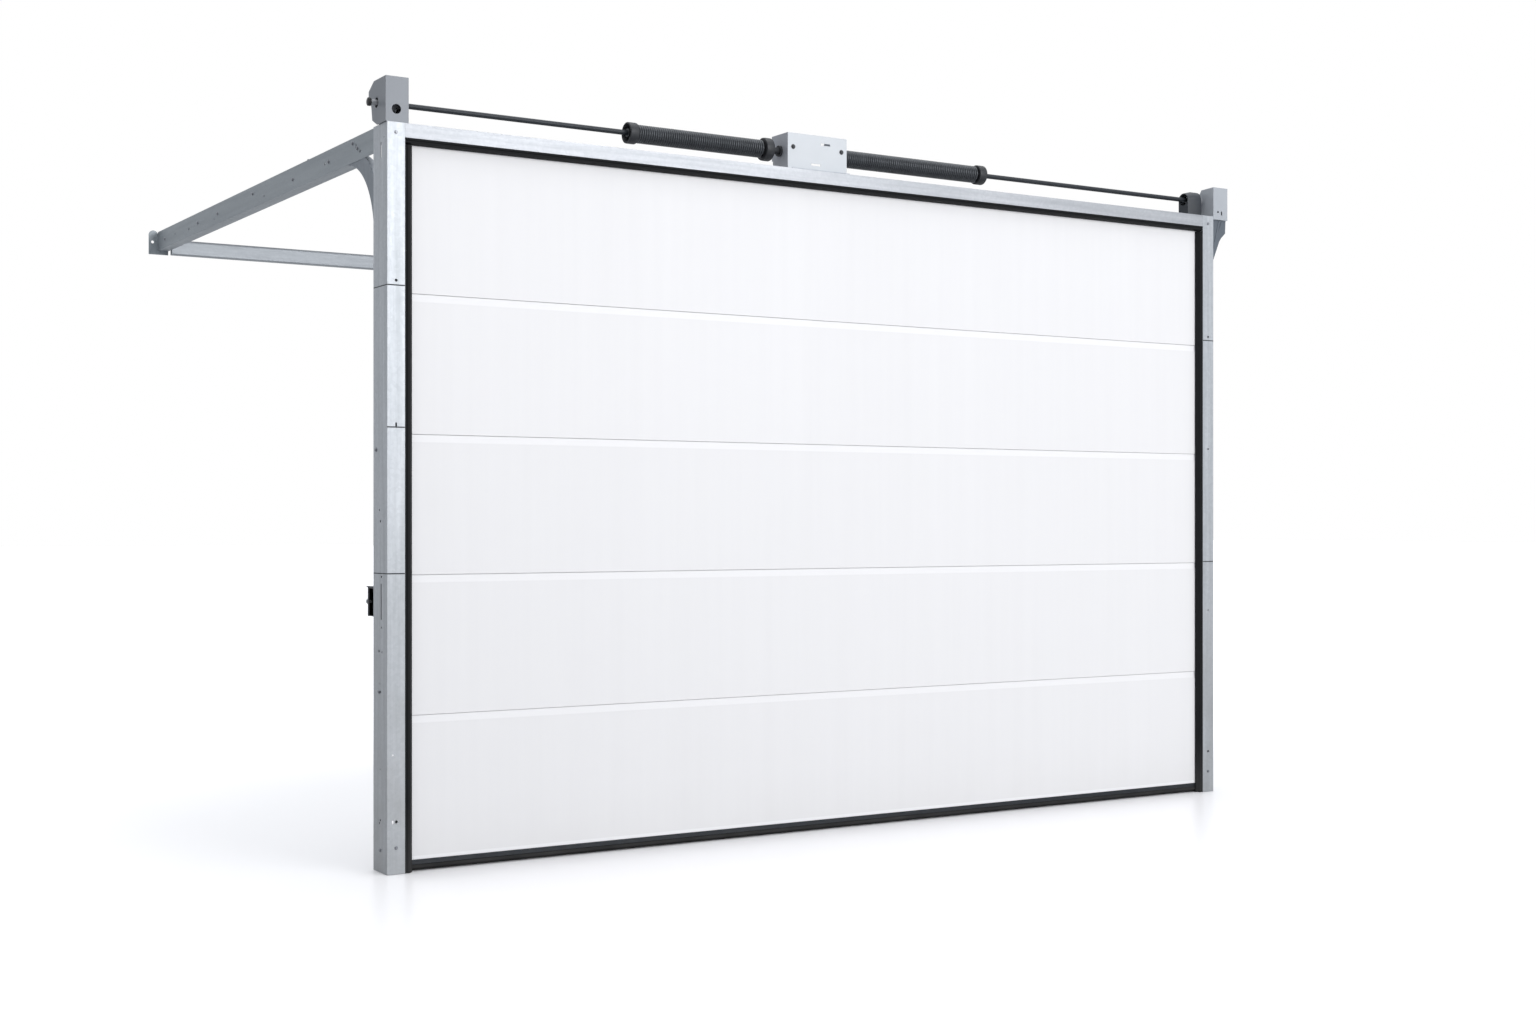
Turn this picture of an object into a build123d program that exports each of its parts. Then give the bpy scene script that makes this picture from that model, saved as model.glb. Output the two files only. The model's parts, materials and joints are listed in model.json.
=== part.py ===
"""Five-section overhead garage door: steel frame, tracks, spring shaft, hinged leaf and lock."""
from build123d import *
import os
from math import cos, radians, sin

os.makedirs("parts", exist_ok=True)

# Driving dimensions, in mm. X runs across the door, +Y into the garage, Z up.
# The origin is on the floor, at mid width, in the middle plane of the closed leaf.
HALF_W = 2005.0        # outer face of each upright
FRAME_H = 2653.0       # top of the uprights and header
FRONT = -45.0          # front plane of the frame
REAR = 88.0            # rear edge of the upright webs
FLANGE = 67.0          # width of the upright front flange
SHEET = 2.0            # frame sheet thickness
HEADER_H = 51.0        # header height
LEAF_HALF = 1950.0     # half width of the leaf
LEAF_T = 40.0          # leaf thickness
JOINTS_Z = [40.0, 554.0, 1054.0, 1554.0, 2054.0, 2600.0]
JOINT_GAP = 0.5        # half gap between sections
SKIN = 0.6             # section skin thickness
TRACK_Y = 65.0         # roller plane of the vertical tracks
TRACK_IN = 42.0        # clear height inside a track channel
LIP_OPEN = 22.0        # slot between the track lips
TRACK_FACE = 1955.0    # inner face of the tracks
CURVE_R = 322.0        # centre-line radius of the curved tracks
CURVE_Z = 2260.0       # height where the curved tracks start
LOW_Z = 2582.0         # centre of the lower horizontal channel
TOP_Z = 2626.0         # centre of the upper horizontal channel
TRACK_END = 3010.0     # rear end of the horizontal tracks
SHAFT_Y = 45.0         # shaft axis
SHAFT_Z = 2733.0
SHAFT_R = 10.0
RUN = 0.05             # radial clearance of a running fit
DRUM_R = 30.0          # drum core radius, cable centre line at 32
CABLE_R = 2.0
CABLE_X = 1972.0
SPRING_R = 36.0
SPRING_BORE = 30.0
C0, C1 = -311.0, -26.0  # left and right sides of the centre cover
COVER_Y, COVER_Z = (-14.0, 106.0), (2656.0, 2801.0)
STILL_R = 46.0         # flange radius of the stationary cones
WIND_R = 41.0          # flange radius of the winding cones
CONE_L = 38.0
SEATS = (-359.0, -66.0)  # inner flange faces of the left and right stationary cones
ENDS = (-1008.0, 719.0)  # outer faces of the winding cones
HINGE_Y = 32.0         # section hinge axis behind the leaf
HINGE_X = [-1790.0, -900.0, 0.0, 900.0, 1790.0]
WHEEL_R = 20.0
STEM_R = 5.5
ROLLER_Z = [85.0, 554.0, 1054.0, 1554.0, 2054.0]
LOCK_Y = 118.0         # lock bolt axis
LOCK_Z = 956.0
LIFT = 190.0           # straight travel of the leaf

pieces = {}


def block(x, y, z, mode=Mode.ADD):
    """Add an axis-aligned block given its low and high limits."""
    with Locations(((x[0] + x[1]) / 2, (y[0] + y[1]) / 2, (z[0] + z[1]) / 2)):
        Box(abs(x[1] - x[0]), abs(y[1] - y[0]), abs(z[1] - z[0]), mode=mode)


def rod(x, y, z, r, mode=Mode.ADD):
    """Add a round bar along X between x[0] and x[1]."""
    with Locations(((x[0] + x[1]) / 2, y, z)):
        Cylinder(r, abs(x[1] - x[0]), rotation=(0, 90, 0), mode=mode)


def post(x, y, z, r, mode=Mode.ADD):
    """Add a round bar along Z between z[0] and z[1]."""
    with Locations((x, y, (z[0] + z[1]) / 2)):
        Cylinder(r, abs(z[1] - z[0]), mode=mode)


def drill_y(x, y, z, r, mode=Mode.SUBTRACT):
    """Round cut (or boss) along Y between y[0] and y[1]."""
    with Locations((x, (y[0] + y[1]) / 2, z)):
        Cylinder(r, abs(y[1] - y[0]), rotation=(90, 0, 0), mode=mode)


def side_plate(points, x, mode=Mode.ADD):
    """Extrude a (y, z) outline across X between x[0] and x[1]."""
    with BuildSketch(Plane.YZ.offset(min(x)), mode=Mode.PRIVATE) as outline:
        with BuildLine():
            Polyline(*points, close=True)
        make_face()
    extrude(outline.sketch, amount=abs(x[1] - x[0]), mode=mode)


def channel_points(side, depth0, depth1, centre):
    """C-channel outline (x, across) with its back outboard and a slot between two lips."""
    half = TRACK_IN / 2
    out = half + SHEET
    slot = LIP_OPEN / 2
    pts = [(depth0, -out), (depth1, -out), (depth1, -slot), (depth1 + SHEET, -slot),
           (depth1 + SHEET, -half), (depth0 - SHEET, -half), (depth0 - SHEET, half),
           (depth1 + SHEET, half), (depth1 + SHEET, slot), (depth1, slot),
           (depth1, out), (depth0, out)]
    return [(side * x, centre + a) for x, a in pts]


# Uprights: folded angle with a return lip for the seal, fixing holes and the lock slot
FLANGE_HOLE_X = 1971.0
SEAMS_Z = [1060.0, 1577.0, 2078.0]
for side, name in ((-1, "left"), (1, "right")):
    with BuildPart() as upright:
        with BuildSketch():
            with BuildLine():
                Polyline(*[(side * x, y) for x, y in (
                    (HALF_W, FRONT), (HALF_W - FLANGE, FRONT), (HALF_W - FLANGE, FRONT + 12),
                    (HALF_W - FLANGE + SHEET, FRONT + 12),
                    (HALF_W - FLANGE + SHEET, FRONT + SHEET),
                    (HALF_W - SHEET, FRONT + SHEET), (HALF_W - SHEET, REAR), (HALF_W, REAR))],
                    close=True)
            make_face()
        extrude(amount=FRAME_H)
        corner = upright.edges().filter_by(Axis.Z).group_by(Axis.Y)[0].sort_by(Axis.X)
        fillet(corner[0] if side < 0 else corner[-1], 1.6)
        for z in (185.0, 2095.0):
            drill_y(side * FLANGE_HOLE_X, (FRONT - 5, FRONT + 6), z, 5.5)
        for z in SEAMS_Z:
            block((side * (HALF_W - FLANGE - 1), side * (HALF_W + 1)), (FRONT - 1, FRONT + 0.5),
                  (z - 0.8, z + 0.8), mode=Mode.SUBTRACT)
        for z in (185.0, 640.0, 1245.0):
            rod((side * (HALF_W - 4), side * (HALF_W + 4)), 20.0, z, 5.0, mode=Mode.SUBTRACT)
        with Locations((side * HALF_W, 12.0, 960.0)):
            Box(10, 8, 128, mode=Mode.SUBTRACT)
    pieces[name + "_upright"] = upright.part

# Header: C-section between the uprights, flush with their front and top
with BuildPart() as header:
    top, low = FRAME_H, FRAME_H - HEADER_H
    side_plate([(FRONT, low), (FRONT, top), (-25, top), (-25, top - SHEET), (FRONT + SHEET, top - SHEET),
                (FRONT + SHEET, low + SHEET), (-27, low + SHEET), (-27, low)],
               (-(HALF_W - FLANGE), HALF_W - FLANGE))
pieces["header"] = header.part

# Foot plates: anchor tabs inside the uprights, each with one floor bolt hole
with BuildPart() as feet:
    for side in (-1, 1):
        block((side * 1953, side * (HALF_W - SHEET)), (-40, 38), (0, 4))
        block((side * (HALF_W - SHEET - 3), side * (HALF_W - SHEET)), (-40, 38), (4, 60))
        post(side * 1977, 0.0, (-2, 6), 6.5, mode=Mode.SUBTRACT)
pieces["foot_plates"] = feet.part

# Roller tracks: straight, curved and twin-channel horizontal lengths
for side, name in ((-1, "left"), (1, "right")):
    back = HALF_W - SHEET
    with BuildPart() as vertical:
        with BuildSketch(Plane.XY.offset(6.0)):
            with BuildLine():
                Polyline(*channel_points(side, back, TRACK_FACE, TRACK_Y), close=True)
            make_face()
        extrude(amount=CURVE_Z - 6.0)
        if side < 0:
            rod((-HALF_W - 2, -1950), LOCK_Y, LOCK_Z, 1, mode=Mode.SUBTRACT)
    pieces[name + "_vertical_track"] = vertical.part

    with BuildPart() as curve:
        with BuildSketch(Plane.XY.offset(CURVE_Z)):
            with BuildLine():
                Polyline(*channel_points(side, back, TRACK_FACE, TRACK_Y), close=True)
            make_face()
        revolve(axis=Axis((0, TRACK_Y + CURVE_R, CURVE_Z), (-1, 0, 0)), revolution_arc=82.5)
        # splice flange: widens the back of the bend up to the upright web and the rail
        ring = [(TRACK_Y + CURVE_R - r * cos(radians(a)), CURVE_Z + r * sin(radians(a)))
                for r, angles in ((343.0, range(30, 77, 4)), (371.0, range(76, 33, -4))) for a in angles]
        ring = [(max(y, REAR + 0.3), min(z, LOW_Z - TRACK_IN / 2 - SHEET - 0.3)) for y, z in ring]
        side_plate(ring, (side * back, side * HALF_W))
    pieces[name + "_curved_track"] = curve.part

    with BuildPart() as rail:
        half, slot = TRACK_IN / 2, LIP_OPEN / 2
        low, high = LOW_Z - half - SHEET, TOP_Z + half + SHEET
        block((side * HALF_W, side * back), (REAR, TRACK_END), (low, high))
        for z0, z1, y0 in ((low, low + SHEET, 352), (LOW_Z + half, LOW_Z + half + SHEET, REAR),
                           (high - SHEET, high, REAR)):
            block((side * back, side * TRACK_FACE), (y0, TRACK_END), (z0, z1))
        for z0, z1, y0 in ((low + SHEET, LOW_Z - slot, 352), (LOW_Z + slot, LOW_Z + half, 352),
                           (LOW_Z + half + SHEET, TOP_Z - slot, REAR), (TOP_Z + slot, high - SHEET, REAR)):
            block((side * (TRACK_FACE + SHEET), side * TRACK_FACE), (y0, TRACK_END), (z0, z1))
    pieces[name + "_horizontal_track"] = rail.part

# Rear spreader: channel tying the two horizontal tracks together
with BuildPart() as spreader:
    y0, y1, z0, z1 = 2940.0, 2970.0, 2535.0, 2606.0
    side_plate([(y0 + 5, z0), (y1, z0), (y1, z0 + SHEET), (y0 + 6, z0 + SHEET), (y0 + SHEET, z0 + 7),
                (y0 + SHEET, z1 - 10), (y0 - 3, z1 - SHEET), (y1, z1 - SHEET), (y1, z1), (y0 - 6, z1),
                (y0, z1 - 10), (y0, z0 + 6)], (-TRACK_FACE, TRACK_FACE))
    for side in (-1, 1):
        block((side * (TRACK_FACE - 4), side * TRACK_FACE), (y0 + 1, y1), (z0 + 1, z1 - 1))
pieces["rear_spreader"] = spreader.part

# Rear end plates: round-topped plates on the track ends, with a hanger hole outboard
HANGER_X = 2030.0
with BuildPart() as ends:
    for side in (-1, 1):
        block((side * TRACK_FACE, side * 2048), (TRACK_END, TRACK_END + 4), (2540, 2634))
        drill_y(side * 2026, (TRACK_END, TRACK_END + 4), 2634.0, 22.0, mode=Mode.ADD)
        block((side * TRACK_FACE, side * 2003), (TRACK_END, TRACK_END + 4), (2634, 2646))
        drill_y(side * HANGER_X, (TRACK_END - 3, TRACK_END + 8), 2600.0, 7.0)
pieces["rear_end_plates"] = ends.part

# Seals: ribbed rubber strips beside and above the leaf
with BuildPart() as side_seals:
    for side, lip in ((-1, 1905), (1, 1911)):
        with BuildSketch():
            with BuildLine():
                Polyline(*[(side * x, y) for x, y in (
                    (1937.8, -44), (1934, -44), (1930, -41), (1926, -44), (lip + 12, -43), (lip, -28),
                    (lip, -22), (lip + 4, -22), (lip + 15, -36), (1937.8, -36))], close=True)
            make_face()
        extrude(amount=FRAME_H - HEADER_H - 24)
pieces["side_seals"] = side_seals.part
with BuildPart() as top_seal:
    z = FRAME_H - HEADER_H
    side_plate([(-44, z - 0.2), (-44, z - 6), (-41, z - 9), (-44, z - 12), (-43, z - 17), (-28, z - 22),
                (-22, z - 22), (-22, z - 18), (-36, z - 10), (-36, z - 0.2)], (-1937.8, 1937.8))
pieces["top_seal"] = top_seal.part

# Left drum housing: folded cover with a sloped back, open below for the cable
HOUSE_X = (-2010.0, -1924.0)
HOUSE = [(FRONT, FRAME_H), (40, FRAME_H), (87, 2676), (97, 2727), (123, 2753), (123, 2785), (72, 2814),
         (FRONT, 2814)]
INNER = [(FRONT + 2, FRAME_H - 1), (39, FRAME_H - 1), (85, 2677.5), (95, 2728), (121, 2754), (121, 2783.8),
         (71.5, 2812), (FRONT + 2, 2812)]
with BuildPart() as house:
    side_plate(HOUSE, HOUSE_X)
    side_plate(INNER, (HOUSE_X[0] + 2, HOUSE_X[1] - 2), mode=Mode.SUBTRACT)
    drill_y(-1970, (FRONT - 3, FRONT + 4), 2699, 17)
    rod((HOUSE_X[0] - 2, HOUSE_X[0] + 3), SHAFT_Y, SHAFT_Z, 18, mode=Mode.SUBTRACT)
    rod((HOUSE_X[1] - 4, HOUSE_X[1] + 2), SHAFT_Y, SHAFT_Z, 20, mode=Mode.SUBTRACT)
pieces["left_drum_housing"] = house.part

# Right bearing housing: box outboard of the right upright
BOX_PROFILE = [(FRONT, 2640), (68, 2640), (68, 2745), (42, 2771), (33, 2785), (FRONT, 2789)]
BOX_INNER = [(FRONT + 2, 2642), (66, 2642), (66, 2744), (40.5, 2769.5), (32, 2783), (FRONT + 2, 2787)]
with BuildPart() as right_box:
    side_plate(BOX_PROFILE, (HALF_W, 2095))
    side_plate(BOX_INNER, (HALF_W + 2, 2093), mode=Mode.SUBTRACT)
    rod((HALF_W - 2, HALF_W + 4), SHAFT_Y, SHAFT_Z, 20, mode=Mode.SUBTRACT)
pieces["right_bearing_housing"] = right_box.part

# Right gusset: ribbed bracket plate carrying the bearing housing
with BuildPart() as gusset:
    with BuildSketch(Plane.XZ.offset(-FRONT - 10)):
        with BuildLine():
            Polyline((HALF_W, 2640), (2090, 2640), (2087, 2581), (2062, 2558), (2049, 2540), (HALF_W, 2438),
                     close=True)
        make_face()
    extrude(amount=3)
    block((HALF_W, HALF_W + 3), (-38, 50), (2442, 2640))
    for a in (22.0, 42.0):
        with BuildSketch(Plane.XZ.offset(-FRONT - 7)):
            with BuildLine():
                Polyline((HALF_W + 4, 2480 + a), (HALF_W + 12, 2484 + a), (HALF_W + a + 26, 2636),
                         (HALF_W + a + 16, 2636), close=True)
            make_face()
        extrude(amount=2.5)
pieces["right_gusset"] = gusset.part


def hood(r0, r1, x, z0, mode=Mode.ADD):
    """Tapered hood over the shaft: a cone, then a barrel, on straight walls down to z0."""
    x0, x1, x2 = x
    with Locations(((x0 + x1) / 2, SHAFT_Y, SHAFT_Z)):
        Cone(r0, r1, x1 - x0, rotation=(0, 90, 0), mode=mode)
    rod((x1, x2), SHAFT_Y, SHAFT_Z, r1, mode=mode)
    with BuildSketch(Plane.XY.offset(z0), mode=Mode.PRIVATE) as plan:
        with BuildLine():
            Polyline((x0, SHAFT_Y - r0), (x1, SHAFT_Y - r1), (x2, SHAFT_Y - r1), (x2, SHAFT_Y + r1),
                     (x1, SHAFT_Y + r1), (x0, SHAFT_Y + r0), close=True)
        make_face()
    extrude(plan.sketch, amount=SHAFT_Z - z0, mode=mode)


# Right drum guard: tapered tunnel over the right cable drum
with BuildPart() as guard:
    hood(30, 39, (1902, 1940, 1979), FRAME_H)
    hood(27.5, 36.5, (1904.5, 1940, 1981), FRAME_H - 2, mode=Mode.SUBTRACT)
    rod((1900, 1906), SHAFT_Y, SHAFT_Z, 26, mode=Mode.SUBTRACT)
    block((1904.5, 1981), (SHAFT_Y + 25, SHAFT_Y + 45), (FRAME_H - 2, 2700), mode=Mode.SUBTRACT)
pieces["right_drum_guard"] = guard.part

# Shaft bearings: rings in the left housing, the centre bracket and the right housing
BEARING_X = (C0 + C1) / 2 - 20
with BuildPart() as bearings:
    for x0, x1 in ((-1930, -1918), (BEARING_X - 8, BEARING_X + 8), (1997, 2011)):
        rod((x0, x1), SHAFT_Y, SHAFT_Z, 20)
        rod((x0 - 1, x1 + 1), SHAFT_Y, SHAFT_Z, SHAFT_R + RUN, mode=Mode.SUBTRACT)
pieces["shaft_bearings"] = bearings.part

# Centre bracket: base, upright bearing plate and spring anchor plates on the header
with BuildPart() as bracket:
    block((C0 + 4, C1 - 4), (-44, 80), (FRAME_H, FRAME_H + 3))
    for x in (C0 + 4, BEARING_X - 2, SEATS[1] - 12):
        side_plate([(8, FRAME_H + 3), (78, FRAME_H + 3), (86, 2690), (86, 2775), (68, 2795), (22, 2795), (8, 2775)],
                   (x, x + 4))
        r = 20.0 if x == BEARING_X - 2 else 11.5
        rod((x - 1, x + 5), SHAFT_Y, SHAFT_Z, r, mode=Mode.SUBTRACT)
pieces["centre_bracket"] = bracket.part

# Centre cover: folded cover over the bracket, with a shaft hole on the left, a spring
# hole on the right and two punched slots in front
with BuildPart() as cover:
    block((C0, C1), COVER_Y, COVER_Z)
    block((C0 + 1.5, C1 - 1.5), (COVER_Y[0] + 1.5, COVER_Y[1] + 2), (COVER_Z[0] - 2, COVER_Z[1] - 1.5),
          mode=Mode.SUBTRACT)
    rod((C0 - 2, C0 + 3), SHAFT_Y, SHAFT_Z, 15, mode=Mode.SUBTRACT)
    rod((C1 - 3, C1 + 2), SHAFT_Y, SHAFT_Z, 38, mode=Mode.SUBTRACT)
    block((C0 - 2, C0 + 3), (98, 108), (2650, 2700), mode=Mode.SUBTRACT)
    for x in (C0 + 26, C1 - 26):
        drill_y(x, (COVER_Y[0] - 2, COVER_Y[0] + 3), 2745, 5)
    for x, z in ((-130.0, 2767.0), (-176.0, 2682.0)):
        block((x - 22, x + 22), (COVER_Y[0] - 1, COVER_Y[0] + 3), (z - 4, z + 4), mode=Mode.SUBTRACT)
pieces["centre_cover"] = cover.part
with BuildPart() as cover_screws:
    for x in (C0 + 26, C1 - 26):
        drill_y(x, (COVER_Y[0] - 6, COVER_Y[0]), 2745, 10, mode=Mode.ADD)
        drill_y(x, (COVER_Y[0], COVER_Y[0] + 9), 2745, 4.5, mode=Mode.ADD)
pieces["cover_screws"] = cover_screws.part

# Stationary cones: flanged spring anchors, the left one on a neck outside the cover,
# the right one inside it
with BuildPart() as cones:
    rod((C0 + 4, SEATS[0]), SHAFT_Y, SHAFT_Z, 13.5)
    rod((C0 - 10, C0), SHAFT_Y, SHAFT_Z, 22)
    rod((SEATS[1] - 8, SEATS[1]), SHAFT_Y, SHAFT_Z, 18)
    for side, seat in ((-1, SEATS[0]), (1, SEATS[1])):
        rod((seat, seat + side * CONE_L), SHAFT_Y, SHAFT_Z, STILL_R)
        rod((seat + side * CONE_L, seat + side * (CONE_L + 30)), SHAFT_Y, SHAFT_Z, SPRING_BORE - 1)
        rod((seat - side * 54, seat + side * (CONE_L + 31)), SHAFT_Y, SHAFT_Z, SHAFT_R + 1, mode=Mode.SUBTRACT)
pieces["stationary_cones"] = cones.part

# Torsion springs: envelope tubes over the cones
for side, name, seat, end in ((-1, "left", SEATS[0], ENDS[0]), (1, "right", SEATS[1], ENDS[1])):
    with BuildPart() as spring:
        x0 = seat + side * CONE_L
        x1 = end - side * (CONE_L + 0.5)
        rod((x0, x1), SHAFT_Y, SHAFT_Z, SPRING_R)
        rod((x0 - 1 * side, x1 + 1 * side), SHAFT_Y, SHAFT_Z, SPRING_BORE, mode=Mode.SUBTRACT)
    pieces[name + "_spring"] = spring.part

# Frame bolts: heads on the front flanges, upright webs and horizontal tracks
with BuildPart() as bolts:
    for side in (-1, 1):
        for z in (93.0, 2617.0):
            drill_y(side * FLANGE_HOLE_X, (FRONT - 4, FRONT), z, 7, mode=Mode.ADD)
        for y, z in ((20, 80), (30, 640), (60, 1500), (250, 2604), (300, 2630), (560, 2604), (980, 2600),
                     (1500, 2618), (2010, 2604), (2320, 2604), (2880, 2600)):
            rod((side * HALF_W, side * (HALF_W + 5)), y, z, 8)
pieces["frame_bolts"] = bolts.part

# Lock case: U-shaped case behind the left vertical track with a slot for the handle
with BuildPart() as lock_case:
    block((-2003, -1961), (90, 152), (904, 1008))
    block((-2000, -1962.5), (92.5, 149.5), (906.5, 1005.5), mode=Mode.SUBTRACT)
    block((-2004, -1999), (93, 138), (908, 1004), mode=Mode.SUBTRACT)
    rod((-1966, -1959), LOCK_Y, LOCK_Z, 7 + RUN, mode=Mode.SUBTRACT)
    block((-1999, -1963.5), (148, 154), (LOCK_Z - 5, LOCK_Z + 5), mode=Mode.SUBTRACT)
    block((-2003, -1961), (90, 164), (1008, 1012))
pieces["lock_case"] = lock_case.part
with BuildPart() as lock_bolt:
    rod((-1998, -1959), LOCK_Y, LOCK_Z, 7)
    drill_y(-1993, (LOCK_Y, 160), LOCK_Z, 4, mode=Mode.ADD)
    drill_y(-1993, (158, 172), LOCK_Z, 10, mode=Mode.ADD)
pieces["lock_bolt"] = lock_bolt.part

# Shaft line: shaft, cable drums, winding cones and end knob, all turning together
with BuildPart() as shaft:
    rod((-2036, 2060), SHAFT_Y, SHAFT_Z, SHAFT_R)
pieces["torsion_shaft"] = shaft.part
for side, name in ((-1, "left"), (1, "right")):
    with BuildPart() as drum:
        rod((side * 1944, side * 1988), SHAFT_Y, SHAFT_Z, DRUM_R)
        for x in (1944, 1984):
            rod((side * x, side * (x + 4)), SHAFT_Y, SHAFT_Z, DRUM_R + 4)
        rod((side * 1930, side * 1944), SHAFT_Y, SHAFT_Z, 18)
        rod((side * 1925, side * 1990), SHAFT_Y, SHAFT_Z, SHAFT_R, mode=Mode.SUBTRACT)
    pieces[name + "_drum"] = drum.part
with BuildPart() as winders:
    for side, end in ((-1, ENDS[0]), (1, ENDS[1])):
        rod((end, end - side * CONE_L), SHAFT_Y, SHAFT_Z, WIND_R)
        rod((end - side * CONE_L, end - side * (CONE_L + 30)), SHAFT_Y, SHAFT_Z, SPRING_BORE - 1)
        for angle in (0, 90, 180, 270):
            with Locations((end - side * 22, SHAFT_Y + 34 * cos(radians(angle)),
                            SHAFT_Z + 34 * sin(radians(angle)))):
                Cylinder(6, 20, rotation=(90 - angle, 0, 0) if angle % 180 == 0 else (0, 0, 0),
                         mode=Mode.SUBTRACT)
        rod((end + side, end - side * (CONE_L + 31)), SHAFT_Y, SHAFT_Z, SHAFT_R, mode=Mode.SUBTRACT)
pieces["winding_cones"] = winders.part
with BuildPart() as knob:
    rod((-2044, -2032), SHAFT_Y, SHAFT_Z, 15)
    rod((-2036, -2030), SHAFT_Y, SHAFT_Z, SHAFT_R, mode=Mode.SUBTRACT)
    chamfer(knob.edges().filter_by(GeomType.CIRCLE).group_by(Axis.X)[0], 2)
pieces["shaft_end_knob"] = knob.part

# Lift cables: straight runs from the drums down to the bottom brackets
for side, name in ((-1, "left"), (1, "right")):
    with BuildPart() as cable:
        post(side * CABLE_X, SHAFT_Y - DRUM_R - CABLE_R, (78, SHAFT_Z), CABLE_R)
    pieces[name + "_lift_cable"] = cable.part


def section_outline(z0, z1, t=0.0):
    """Section outline in (y, z): groove below, tongue above; t insets it for the hollow core."""
    h, e = LEAF_T / 2 - t, 0.9 * t
    pts = [(-h, z0 + 1.5 + t / 2), (-h + 1.5 - t / 2, z0 + t)]
    if z0 > 100:
        pts += [(-7.5 - e, z0 + t), (-5 - e, z0 + 9.5 + t), (5 + e, z0 + 9.5 + t), (7.5 + e, z0 + t)]
    pts += [(h, z0 + t), (h, z1 - t)]
    if z1 < 2500:
        pts += [(6 - e, z1 - t), (4 - e, z1 + 8 - t), (-4 + e, z1 + 8 - t), (-6 + e, z1 - t)]
        pts += [(-h + 2.2, z1 - t), (-h + 2.2, z1 - 27 - t / 3), (-h, z1 - 30 - t / 3)]
    else:
        pts += [(-h, z1 - t)]
    return pts


# Leaf sections: hollow folded-steel panels with a bevelled top edge
for i in range(5):
    with BuildPart() as section:
        z0, z1 = JOINTS_Z[i] + JOINT_GAP, JOINTS_Z[i + 1] - JOINT_GAP
        span = (-(LEAF_HALF - 2), LEAF_HALF - 2)
        side_plate(section_outline(z0, z1), span)
        side_plate(section_outline(z0, z1, SKIN), span, mode=Mode.SUBTRACT)
    pieces["section_" + str(i + 1)] = section.part


def end_caps(rows):
    """Steel caps over both ends of the given sections."""
    for side in (-1, 1):
        for i in rows:
            z0, z1 = JOINTS_Z[i] + 1.5, JOINTS_Z[i + 1] - 1.5
            block((side * (LEAF_HALF - 2), side * LEAF_HALF), (-18, 22), (z0, z1))
            block((side * (LEAF_HALF - 60), side * (LEAF_HALF - 2)), (20, 22), (z0, z1))


with BuildPart() as caps:
    end_caps(range(4))
pieces["end_caps"] = caps.part
with BuildPart() as top_caps:
    end_caps([4])
pieces["top_end_caps"] = top_caps.part

# Bottom edge: aluminium retainer and hollow rubber floor seal
with BuildPart() as retainer:
    block((-LEAF_HALF + 6, LEAF_HALF - 6), (-21, 21), (36, 40.5))
    for y0, y1 in ((-21, -18), (18, 21)):
        block((-LEAF_HALF + 6, LEAF_HALF - 6), (y0, y1), (24, 36))
pieces["bottom_retainer"] = retainer.part
with BuildPart() as floor_seal:
    side_plate([(-18, 36), (18, 36), (18, 22), (21.5, 22), (21.5, 12), (12, 2), (0, 0), (-12, 2),
                (-21.5, 12), (-21.5, 22), (-18, 22)], (-LEAF_HALF + 6, LEAF_HALF - 6))
    side_plate([(-15, 32), (15, 32), (15, 14), (9, 6), (0, 4), (-9, 6), (-15, 14)],
               (-LEAF_HALF, LEAF_HALF), mode=Mode.SUBTRACT)
pieces["bottom_seal"] = floor_seal.part


def carrier(side, z, up):
    """Roller carrier: back plate, two cheeks and a stem tube."""
    d = 1 if up else -1
    block((side * 1840, side * 1946), (22, 25), (z + d * 8, z + d * 62))
    for x in (1850, 1924):
        side_plate([(25, z + d * 58), (25, z + d * 10), (58, z - d * 8), (74, z - d * 4), (74, z + d * 10)],
                   (side * x, side * (x + 4)))
    rod((side * 1850, side * 1928), TRACK_Y, z, 9.5)
    rod((side * 1849, side * 1929), TRACK_Y, z, STEM_R, mode=Mode.SUBTRACT)


# Roller hardware: bottom brackets, carriers below each joint, and stems
with BuildPart() as bottom_brackets:
    for side in (-1, 1):
        carrier(side, ROLLER_Z[0], True)
        y = SHAFT_Y - DRUM_R - CABLE_R
        block((side * (LEAF_HALF + 0.0), side * (LEAF_HALF + 3)), (-12, 25), (60, 140))
        block((side * 1950, side * 1980), (y - 5, y + 5), (60, 78))
        block((side * 1946, side * 1950), (22, 25), (93, 140))
pieces["bottom_brackets"] = bottom_brackets.part
with BuildPart() as carriers:
    for side in (-1, 1):
        for z in ROLLER_Z[1:]:
            carrier(side, z, False)
pieces["roller_carriers"] = carriers.part


def stem(side, z):
    """Roller stem along X with a collar each side of the wheel."""
    rod((side * 1846, side * 1998), TRACK_Y, z, STEM_R)
    for x0, x1 in ((1972.0, 1974.5), (1995.5, 1998.0)):
        rod((side * x0, side * x1), TRACK_Y, z, 8)


with BuildPart() as stems:
    for side in (-1, 1):
        for z in ROLLER_Z:
            stem(side, z)
pieces["roller_stems"] = stems.part

# Rollers: nylon wheels with a bored hub, one left and one right on each line
for i, z in enumerate(ROLLER_Z + [TOP_Z]):
    with BuildPart() as wheels:
        for side in (-1, 1):
            rod((side * 1975, side * 1995), TRACK_Y, z, WHEEL_R)
            rod((side * 1974, side * 1996), TRACK_Y, z, STEM_R + RUN, mode=Mode.SUBTRACT)
    pieces["top_rollers" if i == 5 else "rollers_line_" + str(i)] = wheels.part

# Section hinges: leaf plates with interleaved knuckles, and pins
TAB = [(-12, 20), (-8, 20), (7, 4), (0, 0), (-7, 4), (-12, 8)]


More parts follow.
